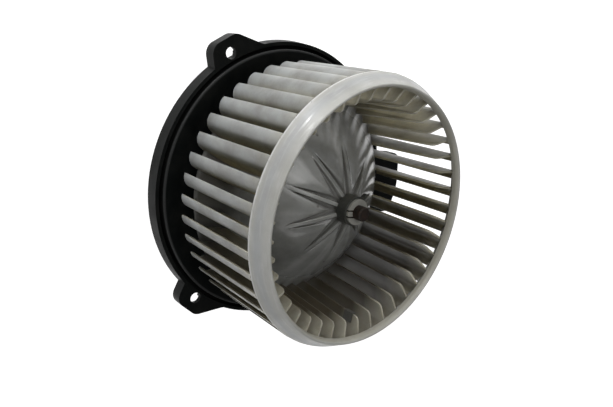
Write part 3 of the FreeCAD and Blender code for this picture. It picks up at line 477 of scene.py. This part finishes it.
rusty = finish("rusty shaft steel", (0.011, 0.0075, 0.006), (0.006, 0.0045, 0.004), 0.6, mirror=0.3,
               grain_size=1600.0, wave_size=420.0, depth=0.00006, dirt_and_shade=(0.040, 0.020, 0.010), dirt_and_shade_most=0.6,
               dirt_size=500.0, worn=(0.10, 0.08, 0.065), worn_most=0.4)
shaft_rear, shaft_front, shaft_r, chamfer = -36.0, 72.0, 4.0, 0.5
groove_low, groove_high, groove_r = 29.7, 30.6, 3.4
shaft = lathe("steel_shaft", mm([
    (0, shaft_rear), (shaft_r - chamfer, shaft_rear), (shaft_r, shaft_rear + chamfer),
    (shaft_r, groove_low), (groove_r, groove_low), (groove_r, groove_high), (shaft_r, groove_high),
    (shaft_r, shaft_front - chamfer), (shaft_r - chamfer, shaft_front), (0, shaft_front)]), 64, rusty)
fitted(shaft, "rotor", "motor_shaft")

# The armature. Varnished steel laminations with enamelled copper coils in their slots, pressed on the
# shaft together with the commutator: copper bars on a core of brown phenolic.
laminations = finish("varnished laminations", (0.22, 0.20, 0.18), (0.15, 0.13, 0.11), 0.45, metallic=0.8,
                     grain_size=4000.0, depth=0.00003)
enamelled = finish("enamelled copper", (0.40, 0.13, 0.045), (0.28, 0.085, 0.03), 0.3, metallic=0.6,
                   grain_size=1400.0, depth=0.00006)
phenolic = finish("brown phenolic", (0.13, 0.07, 0.035), (0.09, 0.045, 0.024), 0.5)
dress(["armature_core"], laminations)
dress(["armature_windings", "commutator_bars"], enamelled)
dress(["commutator_core"], phenolic)

# The thrust washers and the retaining ring. Nylon washers run against the bushes, and an open spring
# ring in the shaft's groove takes the end play.
white_washer = finish("washer nylon", (0.66, 0.62, 0.50), (0.58, 0.54, 0.42), 0.45)
dress(["front_thrust_washer", "rear_thrust_washer"], white_washer)
dress(["shaft_retaining_ring"], dark_spring)

# The brush gear. A phenolic plate inside the can's open end carries two brass tubes. A coil spring in
# each pushes a carbon brush onto the commutator, and braids and chokes lead to the two tabs.
carbon = finish("pressed carbon", (0.035, 0.035, 0.038), (0.022, 0.022, 0.024), 0.55, grain_size=3500.0)
dress(["brush_plate"], phenolic)
dress(["brush_tubes", "terminals"], bronze)
dress(["brush_left", "brush_right"], carbon)
dress(["choke_coils"], enamelled)


def taken_from(node_name, name, made):
    """A loose copy of a CAD node's shape, with the given finish."""
    mesh = nodes[node_name].data.copy()
    mesh.materials.clear()
    mesh.materials.append(made)
    return in_scene(name, mesh)


for side, sign in (("left", 1), ("right", -1)):
    coil = taken_from("brush_spring_" + side, side + "_brush_coil", dark_spring)
    fitted(coil, "motor_frame", "brush_spring_" + side)
    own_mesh(coil)
    braid = taken_from("brush_lead_" + side, side + "_brush_braid", enamelled)
    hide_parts("brush_lead_" + side)
    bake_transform(braid)


# The motor holder. One black satin moulding: rim with its groove and locating ridge, two ears and the
# broad lug with their screw holes, the dish, and the tower over the motor. Behind each ear's hole a pocket
# leaves only a thin skin.
def flat_place(tree, coords):
    """Where a point is, seen along the shaft and measured from it."""
    return vectors(tree, "MULTIPLY", coords, (1.0, 1.0, 0.0)).outputs["Vector"]


def far_from_shaft(tree, coords, start, stop):
    """A mask that rises from 0 to 1 between two distances from the shaft, in metres."""
    length = vectors(tree, "LENGTH", flat_place(tree, coords))
    return between(tree, length.outputs["Value"], start, stop, smooth=True)


def along(tree, coords, axis, start, stop, smooth=False):
    """A mask that rises from 0 to 1 between two places along an axis, in metres."""
    apart = add(tree, "ShaderNodeSeparateXYZ", Vector=coords)
    return between(tree, apart.outputs[axis], start, stop, smooth=smooth)


def holder_coat(tree, coords, paint):
    """The rounded crest of the locating ridge: smoother than the rest, and painted paler as a highlight."""
    raised = along(tree, coords, "Z", 0.0001, 0.0005)
    on_ridge = far_from_shaft(tree, coords, 0.0790, 0.0796)
    crest_highlight_and_polish = maths(tree, "MULTIPLY", raised, on_ridge)
    # The paler crest colour is a painted highlight; the smoother crest is real polish.
    return blended(tree, crest_highlight_and_polish, paint, (0.030, 0.031, 0.031)), crest_highlight_and_polish


black = finish("black holder plastic", (0.0032, 0.0039, 0.0038), (0.0050, 0.0058, 0.0056), 0.40,
               grain_size=3200.0, wave_size=60.0, depth=0.00003, dirt_and_shade=(0.014, 0.014, 0.012), dirt_and_shade_most=0.35,
               dirt_size=70.0, worn=(0.035, 0.037, 0.038), worn_most=0.3, worn_width=0.0004,
               rough_spread=0.25, mirror=0.09, coat=holder_coat)
ear_hole_x, ear_hole_y, ear_skin = -0.050521, 0.070828, 0.0025
pocket_r, pocket_low, rim_clear = 0.00575, 0.0085, 0.0833
turned_edges("flange", "motor_holder", "motor_frame", black, 0.00035,
             pockets=[(ear_hole_x, y, pocket_r, -pocket_low, -ear_skin, rim_clear)
                      for y in (ear_hole_y, -ear_hole_y)])

# The motor's rubber mounting. Three black grommets in the tower's plate, a plated sleeve through each,
# and pan-head screws into the can.
dress(["isolation_grommets"], black)
dress(["spacer_sleeves"], zinc)
turned_edges("motor_screws", "motor_screw_set", "motor_frame", zinc, 0.0002)

# The rear cup and its plug socket. Black mouldings: the cup has vents and three lugs and is screwed
# under the holder from behind. The socket sits in its window, round the tabs.
turned_edges("motor_cover", "rear_cup", "motor_frame", black, 0.00035)
turned_edges("connector_housing", "plug_socket", "motor_frame", black, 0.0003)
turned_edges("cover_screws", "cover_screw_set", "motor_frame", zinc, 0.0002)


# The wheel's hub. It is one moulding with the blades and the ring, of natural polypropylene, milky and a
# little glossy. The dome carries nine ribs between tapering hollows and a boss with two slits.
def streaks(tree, coords, turn_scale, height_axis, size, detail, start, stop):
    """A mask of long marks, from a cloudy pattern over the angle round the shaft and the height."""
    apart = add(tree, "ShaderNodeSeparateXYZ", Vector=coords)
    turn = maths(tree, "ARCTAN2", apart.outputs["Y"], apart.outputs["X"])
    place = add(tree, "ShaderNodeCombineXYZ", X=maths(tree, "MULTIPLY", turn, turn_scale))
    tree.links.new(apart.outputs["Z"], place.inputs[height_axis])
    return between(tree, noise(tree, place.outputs[0], size, detail), start, stop)


def layered(tree, paint, *layers):
    """Paint with more laid over it. Each layer has a mask, a colour and the most that shows of it."""
    for mask, colour, most in layers:
        paint = blended(tree, mask, paint, colour, most)
    return paint


def hub_coat(tree, coords, paint):
    """Painted shade in the hollows, darker towards the blades, a few dark specks, pale streaks along the
    spokes towards the boss painted as reflections, and a cream boss end. The dome is smoother towards the
    boss."""
    # Painted shade: the hollows darken.
    shaded_hollows = shut_in(tree, 0.004, samples=6, start=0.93, stop=0.55)
    # The dome grows darker towards the blades.
    near_blades = far_from_shaft(tree, coords, 0.050, 0.067)
    cells = add(tree, "ShaderNodeTexVoronoi", Vector=coords, Scale=95.0)
    specks = between(tree, cells.outputs["Distance"], 0.10, 0.04)
    # Painted reflections: pale streaks along the spokes, strongest towards the boss.
    spoke_streaks = streaks(tree, coords, 1.0, "Y", size=5.0, detail=0.5, start=0.50, stop=0.75)
    painted_reflections = maths(tree, "MULTIPLY", spoke_streaks, far_from_shaft(tree, coords, 0.060, 0.040))
    boss_end = along(tree, coords, "Z", 0.0630, 0.0665)
    paint = layered(tree, paint, (shaded_hollows, (0.050, 0.048, 0.040), 0.75),
                    (near_blades, (0.15, 0.145, 0.13), 0.6), (specks, (0.05, 0.045, 0.035), 0.7),
                    (painted_reflections, (0.50, 0.50, 0.48), 0.35), (boss_end, (0.33, 0.325, 0.295), 1.0))
    return paint, far_from_shaft(tree, coords, 0.060, 0.044)


hub_plastic = finish("milky hub plastic", (0.264, 0.268, 0.256), (0.190, 0.193, 0.184), 0.38,
                     grain_size=1800.0, wave_size=48.0, depth=0.00003, dirt_and_shade=(0.085, 0.08, 0.066),
                     dirt_and_shade_most=0.45, dirt_size=55.0, soft=0.3, coat=hub_coat)
edge_r, edge_top, edge_rear = 0.0678, 0.0128, 0.0104
boss_r, boss_root_z, boss_rear, boss_top, boss_foot_r, bore_r = 0.0072, 0.0578, 0.0475, 0.067, 0.0086, 0.004
bulge, wall = 0.0049, 0.0022
rib_count, first_rib = 9, math.radians(86.5)
rib_start, rib_end, rib_half, rib_high, rib_sink = 0.0087, 0.0345, 0.0012, 0.0017, 0.0002
rib_flank, rib_fade = 0.0003, 0.002
flute_end, flute_wide, flute_deep, flute_floor, flute_fade = 0.034, 0.0045, 0.0013, 0.35, 0.0012
pillow, pillow_start, pillow_rise, pillow_end, pillow_fade = 0.0006, 0.010, 0.004, 0.044, 0.020
root_wave, wave_start, wave_rise, wave_fade = 0.00009, 0.050, 0.010, 0.003
blade_count = 41
first_blade = math.radians(96.3)


def dome_height(r, offset=0.0):
    """Height of the dome at a radius: one arc from the boss to the edge, moved out by an offset."""
    chord = math.hypot(edge_r - boss_r, edge_top - boss_root_z)
    arc = chord ** 2 / 8 / bulge + bulge / 2
    back = arc - bulge
    centre_r = (boss_r + edge_r) / 2 + (edge_top - boss_root_z) / chord * back
    centre_z = (boss_root_z + edge_top) / 2 - (edge_r - boss_r) / chord * back
    return centre_z + math.sqrt((arc + offset) ** 2 - (r - centre_r) ** 2)


def eased(share):
    """A smooth step from 0 to 1."""
    share = min(1.0, max(0.0, share))
    return share * share * (3 - 2 * share)


def relief(r, angle):
    """How far the hub's skin stands over the plain dome: ribs, the hollows beside them, the pillows
    between, and low waves between the roots of the blades."""
    pitch = math.tau / rib_count
    off = (angle - first_rib + pitch / 2) % pitch - pitch / 2
    side = abs(r * math.sin(off))
    out = r * math.cos(off)
    height = 0.0
    hollow = flute_wide * (flute_end - out) / (flute_end - bore_r)
    if hollow > 0:
        share = (side - rib_half) / hollow
        bottom = 1 - eased((share - flute_floor) / (1 - flute_floor))
        height -= flute_deep * bottom * eased(hollow / flute_fade)
    if out < rib_end:
        share = max(0.0, (out - rib_start) / (rib_end - rib_start))
        top = rib_high + (-rib_sink - rib_high) * share
        flank = 1 - eased((side - rib_half + rib_flank) / (2 * rib_flank))
        height += (top - height) * flank * eased((rib_end - out) / rib_fade)
    room = r * pitch / 2 - rib_half - max(0.0, hollow)
    if room > 0:
        share = min(1.0, (r * pitch / 2 - side) / room)
        inner_share = eased((r - pillow_start) / pillow_rise)
        height += pillow * (1 - share * share) * inner_share * eased((pillow_end - r) / pillow_fade)
    wave = math.cos(blade_count * (angle - first_blade) + math.pi)
    height += root_wave * wave * eased((r - wave_start) / wave_rise) * eased((edge_r - r) / wave_fade)
    return height


def strips(work, rings):
    """Rows of faces, each between a ring of corners and the next ring."""
    for low, high in zip(rings, rings[1:]):
        for k in range(len(low)):
            n = (k + 1) % len(low)
            work.faces.new((low[k], low[n], high[n], high[k]))


def boss_wing(work, bottom, top, side, low_z, high_z):
    """One upright part of the boss's wall, cut off by slits at y = bottom and y = top. None stands for a
    side without a slit, where the wall goes on round the bore."""
    steps = 24
    section = []
    for r in (boss_r, bore_r):
        first = -math.pi / 2 if bottom is None else math.asin(bottom / r)
        last = math.pi / 2 if top is None else math.asin(top / r)
        if bottom is None:
            first = -math.pi - last
        if top is None:
            last = math.pi - first
        sweep = [first + (last - first) * k / steps for k in range(steps + 1)]
        section.append([(side * r * math.cos(a), r * math.sin(a)) for a in sweep])
    stands = [[[work.verts.new((x, y, z)) for x, y in edge] for edge in section] for z in (low_z, high_z)]
    (low_out, low_in), (high_out, high_in) = stands
    for k in range(steps):
        work.faces.new((low_out[k], low_out[k + 1], high_out[k + 1], high_out[k]))
        work.faces.new((low_in[k], high_in[k], high_in[k + 1], low_in[k + 1]))
        work.faces.new((high_out[k], high_out[k + 1], high_in[k + 1], high_in[k]))
        work.faces.new((low_out[k], low_in[k], low_in[k + 1], low_out[k + 1]))
    for k in (0, steps):
        work.faces.new((low_out[k], high_out[k], high_in[k], low_in[k]))


def hub_mesh():
    """The dome as a closed shell over a polar net, and the boss with its slits."""
    work = bmesh.new()
    around = blade_count * rib_count * 2
    angles = [math.tau * k / around for k in range(around)]
    top_rings, top_spread, under_rings, overlap, sunk = 58, 1.08, 12, 0.0004, 0.001
    rings = []
    for j in range(top_rings + 1):
        r = boss_r + (edge_r - boss_r) * (j / top_rings) ** top_spread
        base = dome_height(r)
        rings.append([work.verts.new((r * math.cos(a), r * math.sin(a), base + relief(r, a)))
                      for a in angles])
    under = [(edge_r, edge_rear), (edge_r - wall, edge_rear)]
    for j in range(under_rings + 1):
        r = edge_r - wall + (boss_foot_r - edge_r + wall) * j / under_rings
        under.append((r, dome_height(r, -wall)))
    under += [(boss_foot_r, boss_rear), (bore_r, boss_rear), (bore_r, boss_root_z),
              (boss_r - overlap, boss_root_z)]
    rings += [circle(work, r, z, angles) for r, z in under]
    strips(work, rings + rings[:1])
    slit_half, slit_middle, slit_apart, slit_floor = 0.00045, -0.0011, 0.00175, 0.059
    low_slit = slit_middle - slit_apart
    high_slit = slit_middle + slit_apart
    for bottom, top, side in (
            (high_slit + slit_half, None, 1), (low_slit + slit_half, high_slit - slit_half, 1),
            (low_slit + slit_half, high_slit - slit_half, -1), (None, low_slit - slit_half, 1)):
        boss_wing(work, bottom, top, side, slit_floor - overlap, boss_top)
    collar_low, coarser = boss_root_z - sunk, 9
    collar = [circle(work, r, z, angles[::coarser]) for r, z in (
        (boss_r, collar_low), (boss_r, slit_floor), (bore_r, slit_floor), (bore_r, collar_low))]
    strips(work, collar + collar[:1])
    return smooth_mesh(work, "wheel_hub", hub_plastic, 50.0)


hub = in_scene("wheel_hub", hub_mesh())
fitted(hub, "rotor", "impeller_hub")


# The wheel's blades. Forty-one thin forward-curved vanes stand on the hub's edge, parallel to the shaft, and
# end free at the rear. Their inner sides are brown with dust and painted shade, with painted light on the
# upper blades, and the outer ones are washed paler.
def facing_in(tree, coords):
    """A mask that is 1 on faces that look towards the shaft and 0 on faces that look away from it."""
    spoke = vectors(tree, "NORMALIZE", flat_place(tree, coords)).outputs["Vector"]
    normal = add(tree, "ShaderNodeTexCoord").outputs["Normal"]
    return between(tree, vectors(tree, "DOT_PRODUCT", spoke, normal).outputs["Value"], 0.15, -0.15)


def blade_coat(tree, coords, paint):
    """Brown dust and painted shade on the inner faces and towards the inside of the cage, with painted light
    and shade by height: very pale on the upper blades, olive at mid height, painted shade on the lower ones
    but less of it at the left. The lowest blades get painted shade all over, the front ends are painted
    paler, most on the lower blades, and the rear ends are tinted darker and bluer."""
    # The inside of the cage: brown dust, partly painted shade.
    deep = maths(tree, "MAXIMUM", far_from_shaft(tree, coords, 0.0745, 0.0665), facing_in(tree, coords))
    below_top = along(tree, coords, "Y", 0.060, 0.036, smooth=True)
    low = along(tree, coords, "Y", 0.004, -0.036, smooth=True)
    lowest = along(tree, coords, "Y", -0.020, -0.060, smooth=True)
    left = along(tree, coords, "X", -0.015, -0.055)
    inner_edge = far_from_shaft(tree, coords, 0.0618, 0.0606)
    front = along(tree, coords, "Z", 0.060, 0.075)
    rear = along(tree, coords, "Z", 0.030, 0.011)
    # Painted light and shade by height and side: pale at the top, dark below, less dark at the left.
    low_dust_and_shade = blended(tree, left, (0.072, 0.060, 0.039), (0.15, 0.133, 0.088))
    dust_and_light = blended(tree, below_top, (0.90, 0.86, 0.72), (0.330, 0.305, 0.205))
    dust_and_light = blended(tree, low, dust_and_light, low_dust_and_shade)
    edge_dust_and_light = blended(tree, below_top, (0.30, 0.285, 0.235), dust_and_light)
    front_light = blended(tree, low, (0.31, 0.30, 0.25), (0.56, 0.54, 0.45))
    # Painted shade on the lowest blades, painted light at the front ends.
    paint = layered(tree, paint, (lowest, (0.135, 0.130, 0.108), 0.85), (deep, dust_and_light, 0.92),
                    (inner_edge, edge_dust_and_light, 1.0), (front, front_light, 0.7),
                    (rear, (0.26, 0.275, 0.285), 0.35))
    return paint, None


blade_plastic = finish("milky blade plastic", (0.330, 0.340, 0.335), (0.275, 0.282, 0.275), 0.36,
                       grain_size=1800.0, wave_size=55.0, depth=0.00002, dirt_and_shade=(0.085, 0.075, 0.055),
                       dirt_and_shade_most=0.5, dirt_size=60.0, soft=0.8, coat=blade_coat)
tip_r, tip_lead, tip_bend_r, tip_bend, body_bend_r = 0.075, -10.0, 0.0058, 91.0, 0.200
blade_wall, root_sink = 0.0011, 0.0009
inner_foot, inner_top = (0.0564, 0.0104), (0.0603, 0.0735)
corner_r = 0.004
corner_start, corner_end = 0.060138, 0.062772
corner_centre_r, corner_centre_z = 0.064130, 0.070630
end_line = ((corner_end, 0.074392), (0.0711, 0.0774), (0.0743, 0.0732), (0.0745, 0.0720), (0.0760, 0.0720))


def blade_line(length):
    """A point of the blade's middle line and its normal, at a distance along it from the outer tip."""
    tip = Vector((tip_r - blade_wall / 2, 0.0))
    spoke = Vector((math.cos(math.radians(tip_lead)), math.sin(math.radians(tip_lead))))
    centre = tip - spoke * tip_bend_r
    bend_length = tip_bend_r * math.radians(tip_bend)
    turn = min(length, bend_length) / tip_bend_r
    spoke_now = Matrix.Rotation(turn, 2) @ spoke
    point = centre + spoke_now * tip_bend_r
    if length > bend_length:
        centre = point - spoke_now * body_bend_r
        spoke_now = Matrix.Rotation((length - bend_length) / body_bend_r, 2) @ spoke_now
        point = centre + spoke_now * body_bend_r
    return point, spoke_now


def blade_top(r):
    """Height of the blade's front end at a radius: inner edge, rounded corner, sloping end, then the ring."""
    if r < corner_start:
        share = (r - inner_foot[0]) / (inner_top[0] - inner_foot[0])
        return inner_foot[1] + share * (inner_top[1] - inner_foot[1])
    if r < corner_end:
        return corner_centre_z + math.sqrt(corner_r ** 2 - (corner_centre_r - r) ** 2)
    for (r0, z0), (r1, z1) in zip(end_line, end_line[1:]):
        if r <= r1:
            return z0 + (r - r0) / (r1 - r0) * (z1 - z0)
    return end_line[-1][1]


def blade_foot(r):
    """Height of the blade's rear end at a radius: free outside the hub, sunk in the dome inside it."""
    if r > edge_r:
        return edge_rear
    return dome_height(r, -root_sink)


def blade_mesh():
    """One blade at angle zero, as a closed bent plate."""
    columns = []
    length, step, least_height = 0.0, 0.0005, 0.0005
    while True:
        point, across = blade_line(length)
        low, high = blade_foot(point.length), blade_top(point.length)
        if high - low < least_height:
            break
        columns.append((point, across, low, high))
        length += step
    work = bmesh.new()
    rows = 6
    sheets = []
    for side in (1, -1):
        sheet = []
        for point, across, low, high in columns:
            place = point + across * side * blade_wall / 2
            levels = [low + (high - low) * k / rows for k in range(rows + 1)]
            sheet.append([work.verts.new((place.x, place.y, z)) for z in levels])
        sheets.append(sheet)
    outer, inner = sheets
    last = len(columns) - 1
    for c in range(last):
        for k in range(rows):
            work.faces.new((outer[c][k], outer[c][k + 1], outer[c + 1][k + 1], outer[c + 1][k]))
            work.faces.new((inner[c][k], inner[c + 1][k], inner[c + 1][k + 1], inner[c][k + 1]))
        work.faces.new((outer[c][0], outer[c + 1][0], inner[c + 1][0], inner[c][0]))
        work.faces.new((outer[c][rows], inner[c][rows], inner[c + 1][rows], outer[c + 1][rows]))
    for k in range(rows):
        work.faces.new((outer[0][k], inner[0][k], inner[0][k + 1], outer[0][k + 1]))
        work.faces.new((outer[last][k], outer[last][k + 1], inner[last][k + 1], inner[last][k]))
    return smooth_mesh(work, "blade", None, 40.0)


def cage_tree():
    """Geometry Nodes: copies of one blade at an even pitch about the shaft."""
    group = bpy.data.node_groups.new("blade cage", "GeometryNodeTree")
    for label, kind in (("Blade", "NodeSocketGeometry"), ("Blades", "NodeSocketInt"),
                        ("First Angle", "NodeSocketFloat"), ("Material", "NodeSocketMaterial")):
        group.interface.new_socket(label, in_out="INPUT", socket_type=kind)
    group.interface.new_socket("Cage", in_out="OUTPUT", socket_type="NodeSocketGeometry")
    inside = add(group, "NodeGroupInput").outputs
    points = add(group, "GeometryNodePoints", Count=inside["Blades"])
    index = add(group, "GeometryNodeInputIndex")
    share = maths(group, "DIVIDE", index.outputs[0], inside["Blades"])
    turn = maths(group, "MULTIPLY_ADD", share, math.tau, inside["First Angle"])
    axis = add(group, "ShaderNodeCombineXYZ", Z=turn)
    placed = add(group, "GeometryNodeInstanceOnPoints", Points=points.outputs[0], Instance=inside["Blade"],
                 Rotation=axis.outputs[0])
    real = add(group, "GeometryNodeRealizeInstances", Geometry=placed.outputs[0])
    coat = add(group, "GeometryNodeSetMaterial", Geometry=real.outputs[0], Material=inside["Material"])
    add(group, "NodeGroupOutput", Cage=coat.outputs[0])
    return group


def by_nodes(name, mesh, group, **values):
    """Runs a Geometry Nodes tree on a mesh and keeps the plain result as an object."""
    start = in_scene(name + "_start", mesh)
    modifier = start.modifiers.new("tree", "NODES")
    modifier.node_group = group
    for item in group.interface.items_tree:
        label = item.name.replace(" ", "_")
        if item.in_out == "INPUT" and label in values:
            modifier[item.identifier] = values[label]
    ready = start.evaluated_get(bpy.context.evaluated_depsgraph_get())
    made = bpy.data.meshes.new_from_object(ready)
    bpy.data.objects.remove(start)
    return in_scene(name, made)


blades = by_nodes("wheel_blades", blade_mesh(), cage_tree(), Blades=blade_count, First_Angle=first_blade,
                  Material=blade_plastic)
rounded(blades, width=0.00025, angle=40.0)
fitted(blades, "rotor", "impeller_blades")


# The wheel's front ring. A tapered band that ties the blades' front ends together and turns in to the rounded
# inlet lip. It is polished by handling, with smoother streaks round it that are painted paler as highlights,
# and a sharper rear edge with a painted highlight along it.
def ring_coat(tree, coords, paint):
    """A bluish middle between warmer edges, a painted highlight along the rear edge, smoother streaks that
    run round the band and are painted paler as highlights, and a darker, yellower inside."""
    middle = along(tree, coords, "Z", 0.0795, 0.0770)
    rear = along(tree, coords, "Z", 0.0755, 0.0738)
    # Painted highlight: a bright line along the rear edge.
    rear_edge_highlight = along(tree, coords, "Z", 0.0733, 0.0726)
    # Painted highlights in streaks round the band, which are also smoother.
    polished_highlight_streaks = streaks(tree, coords, 0.006, "Z", size=900.0, detail=3.0, start=0.52, stop=0.72)
    inside = far_from_shaft(tree, coords, 0.0692, 0.0680)
    paint = layered(tree, paint, (middle, (0.345, 0.355, 0.362), 0.8), (rear, (0.395, 0.392, 0.362), 0.7),
                    (rear_edge_highlight, (0.62, 0.62, 0.61), 0.9), (polished_highlight_streaks, (0.52, 0.52, 0.51), 0.5),
                    (inside, (0.34, 0.325, 0.265), 0.7))
    return paint, polished_highlight_streaks


ring_plastic = finish("milky ring plastic", (0.418, 0.418, 0.396), (0.370, 0.370, 0.350), 0.42,
                      grain_size=1800.0, wave_size=40.0, depth=0.00002, dirt_and_shade=(0.16, 0.15, 0.12),
                      dirt_and_shade_most=0.3, dirt_size=45.0, worn=(0.55, 0.55, 0.54), worn_most=0.5, soft=0.3,
                      coat=ring_coat)
ring_outline = [(r / 1000, z / 1000, rounding / 1000) for r, z, rounding in (
    (75.0, 72.0, 0.3), (74.8, 73.2, 4.0), (69.8, 81.8, 0.85), (68.7, 81.8, 0.85), (67.9, 79.8, 2.0),
    (67.9, 77.2, 0.3), (69.5, 77.2, 0.4), (73.6, 73.2, 1.0), (74.0, 72.0, 0.2))]
ring = lathe("wheel_ring", softened(ring_outline, steps=8), around=328, made=ring_plastic, sharp=50.0)
fitted(ring, "rotor", "impeller_ring")


# The spring clamp. An open band of dark sprung strip that squeezes the slit boss onto the shaft. Its two
# tangs stand out at the gap for the pliers.
def capped_strips(work, stations):
    """Rows of faces along a rod, with a face over each of its ends."""
    strips(work, stations)
    work.faces.new(stations[0])
    work.faces.new(stations[-1])


def clamp_mesh():
    """The band as a ribbon with thickness, its ends bent out into the tangs."""
    inner, thick, low, high = 0.00725, 0.0011, 0.0582, 0.0656
    gap_middle, gap_half, tang_turn = math.radians(25), math.radians(14), math.radians(3)
    tang_start, tang_out, tang_half, tang_middle, tang_lean = 0.0002, 0.0042, 0.0015, 0.0619, 0.0006
    work = bmesh.new()
    steps = 96
    rings = []
    start = gap_middle + gap_half
    sweep = math.tau - 2 * gap_half
    for k in range(steps + 1):
        a = start + sweep * k / steps
        spoke = Vector((math.cos(a), math.sin(a)))
        near, far = spoke * inner, spoke * (inner + thick)
        corners = ((near, low), (far, low), (far, high), (near, high))
        rings.append([work.verts.new((p.x, p.y, z)) for p, z in corners])
    capped_strips(work, rings)
    tang_steps = 8
    for side in (-1, 1):
        a = gap_middle + side * (gap_half + tang_turn)
        spoke = Vector((math.cos(a), math.sin(a)))
        across = Vector((-spoke.y, spoke.x))
        stations = []
        for k in range(tang_steps + 1):
            share = k / tang_steps
            out = inner + tang_start + (thick + tang_out - tang_start) * share
            lean = side * tang_lean * share ** 2
            width = thick / 2
            tall = tang_half * (1 - 0.25 * eased((share - 0.7) / 0.3))
            middle = spoke * out + across * lean
            corners = ((-width, -tall), (width, -tall), (width, tall), (-width, tall))
            stations.append([work.verts.new((*(middle + across * w), tang_middle + t)) for w, t in corners])
        capped_strips(work, stations)
    return smooth_mesh(work, "boss_clamp", clamp_steel, 40.0)


clamp_steel = finish("oiled clamp strip", (0.060, 0.064, 0.058), (0.043, 0.046, 0.041), 0.45, metallic=0.35,
                     grain_size=1500.0, depth=0.00001, dirt_and_shade=(0.05, 0.045, 0.035), worn=(0.22, 0.22, 0.21),
                     worn_width=0.0003)
clamp = in_scene("boss_clamp", clamp_mesh())
rounded(clamp, width=0.00015, angle=40.0)
fitted(clamp, "rotor", "hub_clamp")

# The balance clip. A small folded strip of spring steel pushed over the inner edge of one lower blade.
clip_steel = finish("dusty clip strip", (0.105, 0.105, 0.095), (0.075, 0.074, 0.066), 0.5, metallic=0.2,
                    grain_size=1500.0, depth=0.00001, dirt_and_shade=(0.10, 0.09, 0.065))
turned_edges("balance_clip", "blade_clip", "rotor", clip_steel, 0.0001)
